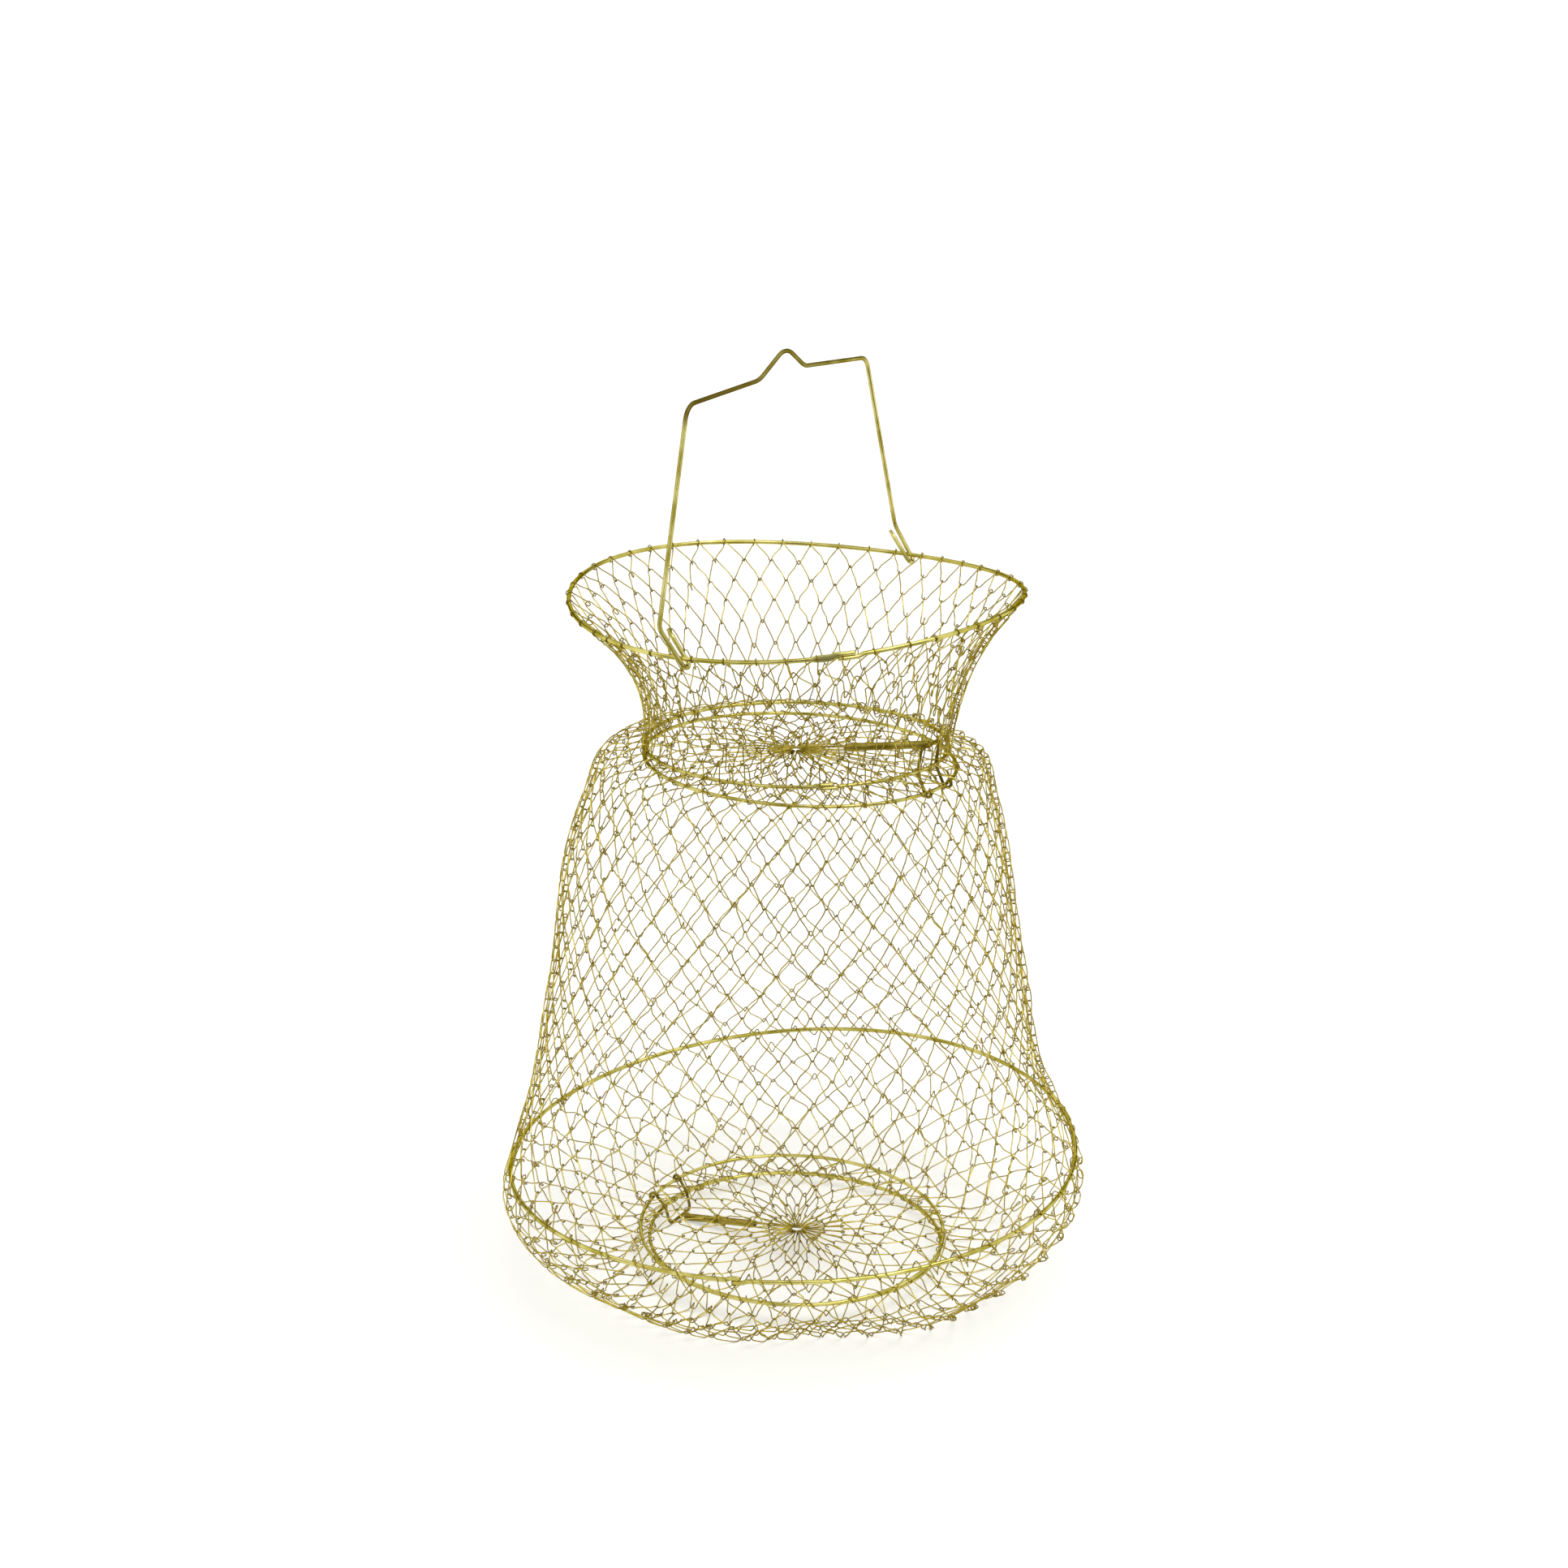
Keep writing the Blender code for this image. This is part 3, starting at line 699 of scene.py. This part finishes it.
def collar_looseness(angle, share):
    """The collar is loosest at its crumpled front."""
    return 0.5 + 1.6 * near(angle, COLLAR_CRUMPLE, 1.5) + 0 * share


def collar_drift(angle, share):
    """The collar is drawn in by its slack, most below its middle and on the left."""
    slack = 0.001 + 0.006 * near(angle, np.pi, 0.9)
    return -slack * np.sin(np.pi * share ** 0.8), 0 * share


collar_line = Outline(hung(neck, rim, [(0.089, 0.192), (0.199, 0.371), (0.362, 0.561),
                                       (0.619, 0.780)]))
collar_holds = (hanging(0.0040, 0.0024, LIGHT_HOLD), wrapped(HEAVY_HOLD, 0.0002, 0.0005))
collar_net = net("collar_net", collar_line, (neck, rim), rows=8, columns=COLUMNS, half=NET_HALF,
                 holds=collar_holds, uneven=collar_looseness, seed=11, drift=collar_drift)
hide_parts(*rows_of("collar_net", 5))
above(neck, 0.003)
above(rim, -0.004)
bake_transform(collar_net)
print("The collar's outline is", round(1000 * collar_line.length, 1), "mm long")

# %% [markdown]
# The body
#
# The big net that holds the catch is stretched between the neck and the big hoop. Its columns are
# narrow at the neck and wide at the hoop, so its diamonds are tall above and flat below. Under the
# neck it has sagged to a soft shoulder.

# %% Make the body
BODY_WIDER = 0.0005
BODY_LEAN = 0.004
SHOULDER_PULL = 0.003
SHOULDER_SINK = 0.0085
SINK_END = 0.04
SIDE_WAVE = 0.0025


def body_looseness(angle, share):
    """The body is tight in its middle and loose at both hoops."""
    ends = np.exp(-share / 0.12) + np.exp(-(1 - share) / 0.08)
    return 0.45 + 0.8 * ends + 0 * angle


def body_drift(angle, share):
    """The body leans to the left, its shoulder has sunk, and its right side is a little wavy.

    The lean is a half wave over the way up, and the shoulder is drawn in and down by bumps. The
    sinking ends at the neck hoop.
    """
    lean = (BODY_WIDER - BODY_LEAN * np.cos(angle)) * np.sin(np.pi * share) ** 0.7
    pulled = -SHOULDER_PULL * bump(share, 0.82, 0.12)
    sunk = -SHOULDER_SINK * bump(share, 0.95, 0.06) * np.minimum(1, (1 - share) / SINK_END)
    wavy = -SIDE_WAVE * near(angle, 0, 3) * np.cos(2.2 * np.pi * (share - 0.2)) ** 2
    return lean + pulled + wavy, sunk


body_line = Outline(hung(big, neck, [(0.092, 0.082), (0.195, 0.176), (0.274, 0.281),
                                     (0.335, 0.387), (0.400, 0.493), (0.439, 0.598),
                                     (0.473, 0.704), (0.522, 0.802), (0.598, 0.891),
                                     (0.689, 0.978), (0.835, 1.023)]))
body_holds = (hanging(0.0056, 0.0036, HEAVY_HOLD), hanging(0.0026, 0.0014, LIGHT_HOLD))
body_net = net("body_net", body_line, (big, neck), rows=24, columns=COLUMNS, half=NET_HALF,
               holds=body_holds, uneven=body_looseness, seed=12, drift=body_drift)
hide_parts(*rows_of("body_net", 12))
above(big, 0.003)
above(neck, -0.003)
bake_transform(body_net)
print("The body's outline is", round(1000 * body_line.length, 1), "mm long")

# %% [markdown]
# The belly
#
# The basket stands on this net, which bulges out under the big hoop and runs flat along the floor
# to the base hoop. Its front is dented in. No point of it may go below the floor.

# %% Make the belly
BELLY_LOOSENESS = 1.2
BELLY_KNOTS = [(0.165, 0.0), (0.405, 0.0), (0.696, 0.262), (0.943, 0.500), (1.044, 0.763)]
# Where round the basket in degrees, how narrow, and how far out.
BELLY_DENTS = [(-82, 32, -0.0165), (-112, 16, -0.005), (-46, 24, 0.0025)]


def belly_looseness(angle, share):
    """The belly is equally loose all over."""
    return BELLY_LOOSENESS + 0 * angle + 0 * share


def belly_drift(angle, share):
    """The belly is dented in at the front and bulges out on the right of the dents."""
    outward = sum(depth * near(angle, math.radians(degrees), sharpness)
                  for degrees, sharpness, depth in BELLY_DENTS)
    return outward * np.sin(np.pi * share ** 0.8), 0 * share


belly_rows = [(base.radius, base.height, 1.0, 0.0)]
for across, up in BELLY_KNOTS:
    belly_rows.append((base.radius + (big.radius - base.radius) * across,
                       FLOOR_TOUCH + 0.0005 + big.height * up, 0.0, up))
belly_rows.append((big.radius, big.height, 0.0, 1.0))
belly_line = Outline(belly_rows)
belly_holds = (hanging(0.0022, 0.0012, LIGHT_HOLD), hanging(0.0038, 0.0022, HEAVY_HOLD))
belly_net = net("belly_net", belly_line, (base, big), rows=11, columns=COLUMNS, half=NET_HALF,
                holds=belly_holds, uneven=belly_looseness, seed=13, drift=belly_drift,
                floor=FLOOR_TOUCH)
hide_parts(*rows_of("belly_net", 6))
above(base, 0.002)
above(big, -0.003)
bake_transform(belly_net)
print("The belly's outline is", round(1000 * belly_line.length, 1), "mm long")

# %% [markdown]
# The lid and the door
#
# The lid's and the door's nets are the same linked rows, drawn in to a small round hole, where a
# ring of thin wire gathers the last turns. Toward the middle the columns crowd together, and there
# the wires lie nearly straight, side by side. So the same function makes them, with fewer columns.

# %% Make the lid's and the door's nets
FLAP_COLUMNS = 26
FLAP_ROWS = 7
FLAP_HALF = 0.0010
HOLE_RADIUS = 0.0042
GATHER_HOLD = 0.0007
GATHER_WIRE = 0.0006


class Hole:
    """The gathered middle of a flap, from its CAD loop's box: a level circle, off the axis."""

    def __init__(self, node):
        low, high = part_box(node)
        self.place = np.array([(low.x + high.x) / 2, (low.y + high.y) / 2, (low.z + high.z) / 2])
        self.radius, self.height = HOLE_RADIUS, self.place[2]

    def departure(self, angle):
        """The same shift off the basket's axis at every angle."""
        return np.zeros((*np.shape(angle), 3)) + np.array([self.place[0], self.place[1], 0.0])

    def point(self, angle):
        """Points on the hole's edge."""
        return polar(self.radius, angle, self.height) + self.departure(angle)


def flap_net(body, hoop, hole, seed, slack):
    """A net from a hoop in to its hole, straight as seen from the side, and tighter at the hole."""

    def flap_looseness(angle, share):
        """Half as loose at the hole as at the hoop."""
        return slack * (1 - 0.5 * share) + 0 * angle

    straight = Outline(hung(hoop, hole, [(0.33, 0.33), (0.67, 0.67)]))
    holds = (hanging(0.0020, 0.0012, LIGHT_HOLD), hanging(GATHER_HOLD, 0.0002, GATHER_HOLD))
    piece = net(f"{body}_wire_net", straight, (hoop, hole), FLAP_ROWS, FLAP_COLUMNS, FLAP_HALF,
                holds, flap_looseness, seed)
    ring = hole.point(np.linspace(0, 2 * np.pi, 40, endpoint=False))
    gather = wire_piece(f"{body}_gather_wire",
                        [tube([ring], GATHER_WIRE / 2, 8, (0, 0, 1), True)], net_brass)
    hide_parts(*rows_of(f"{body}_net", 3))
    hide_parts(f"{body}_centre_loop")
    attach(piece, body)
    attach(gather, body)


lid_hole, door_hole = Hole("lid_centre_loop"), Hole("door_centre_loop")
flap_net("lid", lid, lid_hole, seed=14, slack=1.5)
flap_net("door", door, door_hole, seed=15, slack=0.9)

# %% [markdown]
# The bail
#
# One heavy wire makes the whole bail. Its ends are bent back to hairpin hooks that hold the rim,
# the legs lean in, and a round hump in the grip keeps it in the middle of a hand. A smooth spline
# would round off the whole wire, but a wire that is bent over a former stays straight in between.
# So straight runs are joined by arcs: at each bend, the arc touches both runs.

# %% Helpers for bent wires
WORLD_UP = np.array([0.0, 0.0, 1.0])


def bent(corners, radii, steps):
    """Straight runs with arcs: the arc's centre lies on the bisector at radius / sin(half)."""
    path = [corners[0]]
    for before, corner, after, radius in zip(corners, corners[1:], corners[2:], radii):
        back, ahead = unit(before - corner), unit(after - corner)
        half = math.acos(float(np.clip(back @ ahead, -1, 1))) / 2
        middle = corner + unit(back + ahead) * radius / math.sin(half)
        first = corner + back * radius / math.tan(half) - middle
        last = corner + ahead * radius / math.tan(half) - middle
        swing = math.pi - 2 * half
        share = np.linspace(0, 1, steps)[:, None]
        arc = (np.sin((1 - share) * swing) * first + np.sin(share * swing) * last)
        path += list(middle + arc / math.sin(swing))
    return np.array(path + [corners[-1]])


def refined(path, spacing):
    """Adds points on the long straight runs, so that no step is longer than the spacing."""
    path = np.array(path)
    gone = np.concatenate([[0], np.cumsum(np.linalg.norm(np.diff(path, axis=0), axis=1))])
    extra = np.arange(0, gone[-1], spacing)
    stations = np.unique(np.concatenate([gone, extra]).round(7))
    return np.stack([np.interp(stations, gone, path[:, i]) for i in range(3)], -1)


square = bent(np.array([(0, 0, 0), (1, 0, 0), (1, 1, 0)], float), [0.2], 3)
print("A square corner bent round a radius of 0.2:", square.round(2).tolist())

# %% Bend the bail
HOOK_ANGLES = np.radians([242.2, 58.8])
HOOK_LEAN = math.radians(36.0)
HOOK_REACH = HEAVY + 0.0003
HOOK_DROP = 0.0026
HOOK_LENGTH = 0.0170
BAIL_SETBACK = 0.0103
BAIL_SLOPE = 0.019
BAIL_SIDES = 12
BAIL_SPACING = 0.006
ARC_STEPS = 12
GRIP_START = 0.113
GRIP_FADE = 0.006
# How dark the grip's painted reflection is, from its left end past the hump to its right end.
GRIP_PLACES, GRIP_REFLECTION_DARKNESS = [-0.09, 0.02, 0.09], [1.0, 0.7, 0.3]
# Each bend: how far along, how far up, and its radius.
BAIL_BENDS = [
    (-0.1302, 0.0154, 0.008), (-0.0964, 0.1235, 0.010), (-0.0235, 0.1247, 0.022),
    (0.0052, 0.1380, 0.015), (0.0255, 0.1247, 0.014), (0.0964, 0.1186, 0.009),
    (0.1302, 0.0154, 0.008),
]

bail_feet = rim.point(HOOK_ANGLES)
bail_along = unit(bail_feet[1] - bail_feet[0])
bail_behind = unit(np.cross(WORLD_UP, bail_along))
bail_upright = np.cross(bail_along, bail_behind)
bail_lean = math.sin(HOOK_LEAN) * bail_behind + math.cos(HOOK_LEAN) * bail_upright


def bail_hook(foot, outward):
    """A hook under the rim: a straight tip inside it, then half a turn to the outside."""
    turn = np.linspace(0, np.pi, 15)[:, None]
    arc = foot - bail_lean * HOOK_DROP
    arc = arc - HOOK_REACH * (np.cos(turn) * outward + np.sin(turn) * bail_lean)
    return np.vstack([foot - outward * HOOK_REACH + bail_lean * HOOK_LENGTH, arc])


left_hook = bail_hook(bail_feet[0], -bail_along)
right_hook = bail_hook(bail_feet[1], bail_along)
bail_middle = bail_feet.mean(0) + bail_behind * BAIL_SETBACK
bail_rising = bail_upright + bail_behind * BAIL_SLOPE
bail_corners = [bail_middle + bail_along * out + bail_rising * rise for out, rise, _ in BAIL_BENDS]
bend_radii = [radius for _, _, radius in BAIL_BENDS]
grip = bent([left_hook[-1]] + bail_corners + [right_hook[-1]], bend_radii, ARC_STEPS)
bail_path = refined(np.vstack([left_hook[:-1], grip, right_hook[-2::-1]]), BAIL_SPACING)
along_grip = (bail_path - bail_middle) @ bail_along
up_grip = (bail_path - bail_middle) @ bail_upright
# The grip takes the tint of a painted dark reflection, darkest at its left end.
grip_painted_reflection = np.clip((up_grip - GRIP_START) / GRIP_FADE, 0, 1)
grip_painted_reflection = grip_painted_reflection * np.interp(along_grip, GRIP_PLACES, GRIP_REFLECTION_DARKNESS)
bail = wire_piece("bail", [tube([bail_path], cut_ends(len(bail_path), HEAVY / 2)[None], BAIL_SIDES,
                                bail_behind, False)], bail_brass, np.repeat(grip_painted_reflection, BAIL_SIDES))
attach(bail, "bail")
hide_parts("bail_handle")

# %% [markdown]
# The hinge brackets
#
# A bracket is a short wire staple. Its ends curl round the flap's hoop and can turn on it, its legs
# pass the fixed hoop, and the spring pulls on its bar. It is bent like the bail, from corners and
# radii. Its eyes are circles worked out round the flap's hoop, so they sit on it at either hinge.

# %% Make the brackets
BRACKET_WIRE = 0.0017
BRACKET_SIDES = 10
BRACKET_SPACING = 0.004
BRACKET_RADII, BRACKET_ARC_STEPS = [0.002, 0.003, 0.003, 0.002], 7
EYE_PLAY = 0.0006
EYE_TURN, EYE_STEPS = math.radians(250.0), 22
LEG_GAP = 0.0003
# The section's guide is mostly outward, and aslant because no part of the wire runs that way.
GUIDE_SIDEWAYS, GUIDE_UP = 0.5, 0.3
LID_HINGE_ANGLE = math.radians(-31.0)
DOOR_HINGE_ANGLE = math.radians(150.0)


def bracket(body, carrier, flap, fixed, angle, spread, bar_height, tuck):
    """Two eyes round the flap's hoop, two legs beside the fixed hoop, and a bar between them.

    The bar lies further in than the legs by the tuck, or further out where that is negative.
    """
    swing = math.asin(spread / 2 / flap.radius)
    reach = LIGHT / 2 + EYE_PLAY + BRACKET_WIRE / 2
    halves = []
    for side in (-1, 1):
        centre, passed = flap.point(angle + side * swing), fixed.point(angle + side * swing)
        outward = polar(1.0, angle + side * swing, 0.0)
        way = math.copysign(1.0, bar_height - centre[2])
        turn = (math.pi + way * EYE_TURN * np.linspace(1, 0, EYE_STEPS))[:, None]
        eye = centre + reach * (np.cos(turn) * outward + np.sin(turn) * WORLD_UP)
        inset = (passed - centre) @ outward - LIGHT / 2 - LEG_GAP - BRACKET_WIRE / 2
        leg = np.array([centre + inset * outward] * 2)
        leg[:, 2] = passed[2] - way * LIGHT, bar_height
        leg[1] -= tuck * outward
        halves.append(np.vstack([eye, leg]))
    corners = list(np.vstack([halves[0][-3:], halves[1][:-4:-1]]))
    middle = bent(corners, BRACKET_RADII, BRACKET_ARC_STEPS)
    path = refined(np.vstack([halves[0][:-3], middle, halves[1][-4::-1]]), BRACKET_SPACING)
    guide = around(angle) * GUIDE_SIDEWAYS + polar(1.0, angle, GUIDE_UP)
    piece = wire_piece(f"{body}_hinge_bracket",
                       [tube([path], cut_ends(len(path), BRACKET_WIRE / 2)[None], BRACKET_SIDES,
                             guide, False)], bracket_painted_shade_brass)
    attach(piece, carrier)
    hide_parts(f"{body}_bracket")
    return (halves[0][-1] + halves[1][-1]) / 2


lid_bar = bracket("lid", "neck", lid, neck, LID_HINGE_ANGLE, spread=0.0222,
                  bar_height=neck.height + 0.0126, tuck=-0.002)
door_bar = bracket("door", "base", door, base, DOOR_HINGE_ANGLE, spread=0.0264,
                   bar_height=base.height - 0.0078, tuck=0.003)

# %% [markdown]
# The springs
#
# Each spring is a close-wound coil. Its near end is a hook round the bracket's bar, and its far end
# is drawn out to a long hairpin that takes hold of the net round the hole. A screw modifier could
# wind the coil, but one formula gives its turns and the places where its hooks begin.

# %% Make the springs
SPRING_WIRE = 0.0006
SPRING_SIDES = 6
COIL_RADIUS = 0.0019
TURN_SPACING, TURN_STEPS = SPRING_WIRE * 1.02, 11
HOOK_PLAY, HOOK_RETURN, HOOK_SPACING = 0.0001, 0.0035, 0.001
HAIRPIN_PAST = 0.0090
HAIRPIN_RISE = 0.0009
HAIRPIN_STEPS = 40
HAIRPIN_WIDTHS = [0.0016, 0.0009, 0.0006, 0.0006, 0.0009, 0.0004]


def spring(body, bar, centre, coil_start, coil_length):
    """A helix of touching turns along the line from the bar to the centre, with a hook each end."""
    along = unit(centre - bar)
    side = unit(np.cross(along, WORLD_UP))
    across = np.cross(side, along)
    turns = coil_length / TURN_SPACING
    angle = np.linspace(0, 2 * np.pi * turns, int(turns * TURN_STEPS))
    radial = np.cos(angle)[:, None] * across + np.sin(angle)[:, None] * side
    gone = (coil_start + coil_length * angle / angle[-1])[:, None]
    coil = bar + along * gone + COIL_RADIUS * radial
    parts = [tube([coil], SPRING_WIRE / 2, SPRING_SIDES, radial, False)]

    eye = math.pi * np.linspace(-0.95, 0.75, 14)[:, None]
    reach = BRACKET_WIRE / 2 + SPRING_WIRE / 2 + HOOK_PLAY
    hook = bar + reach * (np.cos(eye) * along + np.sin(eye) * across)
    hook = np.vstack([hook, bar + along * HOOK_RETURN, coil[0]])
    parts.append(tube([refined(hook, HOOK_SPACING)], SPRING_WIRE / 2, SPRING_SIDES, side, False))

    coil_end = coil_start + coil_length
    reach_out = np.linalg.norm(centre - bar)
    stations = np.array([coil_end - 0.001, coil_end + 0.004, reach_out - 0.006, reach_out,
                         reach_out + HAIRPIN_PAST - 0.002, reach_out + HAIRPIN_PAST])
    where = np.interp(np.linspace(0, 1, HAIRPIN_STEPS), np.linspace(0, 1, len(stations)), stations)
    apart = np.interp(where, stations, HAIRPIN_WIDTHS)[:, None]
    middle = bar + along * where[:, None] + across * HAIRPIN_RISE
    hairpin = np.vstack([middle + side * apart, (middle - side * apart)[::-1]])
    parts.append(tube([hairpin], SPRING_WIRE / 2, SPRING_SIDES, across, False))

    piece = wire_piece(f"{body}_coil_spring", parts, spring_brass)
    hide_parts(f"{body}_spring")
    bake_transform(piece)


spring("lid", lid_bar, lid_hole.place, coil_start=0.0010, coil_length=0.0525)
spring("door", door_bar, door_hole.place, coil_start=0.0040, coil_length=0.0490)

# %% [markdown]
# The studio
#
# The photograph was taken on a white sweep under large soft lamps. Shiny wire only shows its shape
# if it has something dark to reflect, so a photographer stands grey cards round it, out of sight.
# At the front of each hoop the photograph shows a short dull stretch with no highlight: that is the
# dark gap between two lamps, where the camera stands. So one card stands behind the camera, others
# stand round the sides, one hangs overhead and one lies on the floor in front. Only reflections
# see them. The floor and the world are white for the camera and for reflections, and the floor
# keeps the basket's faint shadow.

# %% Helpers for the studio
def stage_plane(name, corners, faces, material):
    """A flat or curved sheet from its corners."""
    mesh = bpy.data.meshes.new(name)
    mesh.from_pydata(corners, [], faces)
    mesh.materials.append(material)
    item = bpy.data.objects.new(name, mesh)
    bpy.context.scene.collection.objects.link(item)
    return item


def unseen(item):
    """Only reflections see the item, and it takes no light from the basket."""
    item.visible_camera = False
    item.visible_diffuse = False
    item.visible_shadow = False


def shown(tree):
    """1 for camera, glossy and transmission rays, and 0 for the rays that carry soft light."""
    rays = add_node(tree, "ShaderNodeLightPath")
    seen = add_node(tree, "ShaderNodeMath", {0: rays.outputs["Is Camera Ray"],
                                             1: rays.outputs["Is Glossy Ray"]},
                    operation="MAXIMUM")
    return add_node(tree, "ShaderNodeMath", {0: seen.outputs[0],
                                             1: rays.outputs["Is Transmission Ray"]},
                    operation="MAXIMUM").outputs[0]


# %% [markdown]
# The floor
#
# This is matt white paper, pressed smooth: it spreads light evenly and has no shine. A floor lit
# until it turns white would need too much light on the brass. So it glows a little instead, but
# only for the rays that look at it.

# %% The floor of white paper
FLOOR_GLOW = 0.345
FLOOR_HALF = 60.0
paper = bpy.data.materials.new("white_paper")
paper.use_nodes = True
paper_shader = paper.node_tree.nodes["Principled BSDF"]
paper_shader.inputs["Base Color"].default_value = linear("#EDEDE8")
paper_shader.inputs["Roughness"].default_value = 0.9
paper_shader.inputs["Specular IOR Level"].default_value = 0.0
paper_shader.inputs["Emission Color"].default_value = (1.0, 1.0, 1.0, 1.0)
glow = add_node(paper.node_tree, "ShaderNodeMath", {0: shown(paper.node_tree), 1: FLOOR_GLOW},
                operation="MULTIPLY")
paper.node_tree.links.new(glow.outputs[0], paper_shader.inputs["Emission Strength"])
stage_plane("paper_floor", [(-FLOOR_HALF, -FLOOR_HALF, 0), (FLOOR_HALF, -FLOOR_HALF, 0),
                            (FLOOR_HALF, FLOOR_HALF, 0), (-FLOOR_HALF, FLOOR_HALF, 0)],
            [(0, 1, 2, 3)], paper)
print("The floor is", 2 * FLOOR_HALF, "m wide")

# %% [markdown]
# The grey cards
#
# The cards are matt grey board, dyed right through: it gives back about a seventh of the light and
# hardly shines. A flat card would cover more of some wires' reflections than of others. So each
# card that stands or hangs is a patch of a large sphere round the basket, given by azimuth and
# elevation. The card on the floor is a flat piece of a ring.

# %% Make the grey cards
CARD_DISTANCE = 4.0
CARD_CENTRE = 0.3
# Each side card's middle, half width, and lowest and highest edge, all in degrees.
SIDE_CARDS = {"behind_camera": (-90, 11, 2, 55), "front_left": (-152, 12, 2, 40),
              "front_right": (-28, 12, 2, 40), "back_left": (128, 14, 2, 40),
              "back_right": (52, 14, 2, 40)}
SIDE_STEPS = 9
OVERHEAD_FROM, OVERHEAD_TO, OVERHEAD_STEPS = 68, 89, (49, 7)
SECTOR_FROM, SECTOR_TO, SECTOR_STEPS = -160, -20, 24
SECTOR_START, SECTOR_HEIGHT = 0.45, 0.003
grey_card = bpy.data.materials.new("grey_card")
grey_card.use_nodes = True
grey_shader = grey_card.node_tree.nodes["Principled BSDF"]
grey_shader.inputs["Base Color"].default_value = linear("#6E6A58")
grey_shader.inputs["Roughness"].default_value = 0.9


def card(name, azimuths, elevations):
    """A card on the sphere, at d (cos e cos a, cos e sin a, sin e), with its angles in degrees."""
    azimuth, elevation = np.meshgrid(np.radians(azimuths), np.radians(elevations))
    rows, columns = azimuth.shape
    azimuth, elevation = azimuth.ravel(), elevation.ravel()
    points = polar(CARD_DISTANCE * np.cos(elevation), azimuth,
                   CARD_DISTANCE * np.sin(elevation) + CARD_CENTRE)
    index = np.arange(rows * columns).reshape(rows, columns)
    faces = np.stack([index[:-1, :-1], index[:-1, 1:], index[1:, 1:], index[1:, :-1]], -1)
    unseen(stage_plane(name, points.tolist(), faces.reshape(-1, 4).tolist(), grey_card))
    print(name, len(points), "points")


for card_name, (centre, half_width, low, high) in SIDE_CARDS.items():
    card(f"{card_name}_card", np.linspace(centre - half_width, centre + half_width, SIDE_STEPS),
         np.linspace(low, high, SIDE_STEPS))
card("overhead_card", np.linspace(-180, 180, OVERHEAD_STEPS[0]),
     np.linspace(OVERHEAD_FROM, OVERHEAD_TO, OVERHEAD_STEPS[1]))

sector = np.radians(np.linspace(SECTOR_FROM, SECTOR_TO, SECTOR_STEPS + 1))
sector_points = np.vstack([polar(SECTOR_START, sector, SECTOR_HEIGHT),
                           polar(CARD_DISTANCE, sector, SECTOR_HEIGHT)])
outer = SECTOR_STEPS + 1
sector_faces = [(i, outer + i, outer + i + 1, i + 1) for i in range(SECTOR_STEPS)]
unseen(stage_plane("floor_card", sector_points.tolist(), sector_faces, grey_card))
print("floor_card", len(sector_points), "points")

# %% [markdown]
# The light
#
# Most of the light is even, from a white world and a wide soft sun overhead, so a colour renders
# about as it is written. Two tall strip lamps at the sides draw the bright line along each wire.

# %% Set the world and the lamps
WORLD_LIGHT = 0.45
LAMP_TARGET = (0, 0, 0.25)
SKY_ENERGY = 1.5
SKY_WIDTH = math.radians(50)
SKY_TILT = (math.radians(12), math.radians(14), 0)
world = bpy.data.worlds.new("soft_white")
world.use_nodes = True
world_tree = world.node_tree
strength = add_node(world_tree, "ShaderNodeMapRange",
                    {"Value": shown(world_tree), "To Min": WORLD_LIGHT, "To Max": 1.0})
world_tree.nodes["Background"].inputs["Color"].default_value = (1.0, 1.0, 1.0, 1.0)
world_tree.links.new(strength.outputs["Result"], world_tree.nodes["Background"].inputs["Strength"])
bpy.context.scene.world = world


def soft_lamp(name, place, size, power):
    """A lamp of the given width and height that faces the basket."""
    data = bpy.data.lights.new(name, "AREA")
    data.shape = "RECTANGLE"
    data.size, data.size_y = size
    data.energy = power
    lamp = bpy.data.objects.new(name, data)
    aim = np.array(LAMP_TARGET) - np.array(place)
    lamp.location = place
    lamp.rotation_mode = "QUATERNION"
    lamp.rotation_quaternion = Vector(aim).to_track_quat("-Z", "Y")
    bpy.context.scene.collection.objects.link(lamp)


soft_lamp("left_strip", (-2.0, -1.2, 1.2), size=(0.5, 1.6), power=3.0)
soft_lamp("right_strip", (2.1, -0.9, 1.3), size=(0.4, 1.6), power=2.4)
sky = bpy.data.lights.new("high_diffuser", "SUN")
sky.energy = SKY_ENERGY
sky.angle = SKY_WIDTH
sky_lamp = bpy.data.objects.new("high_diffuser", sky)
sky_lamp.rotation_euler = SKY_TILT
bpy.context.scene.collection.objects.link(sky_lamp)
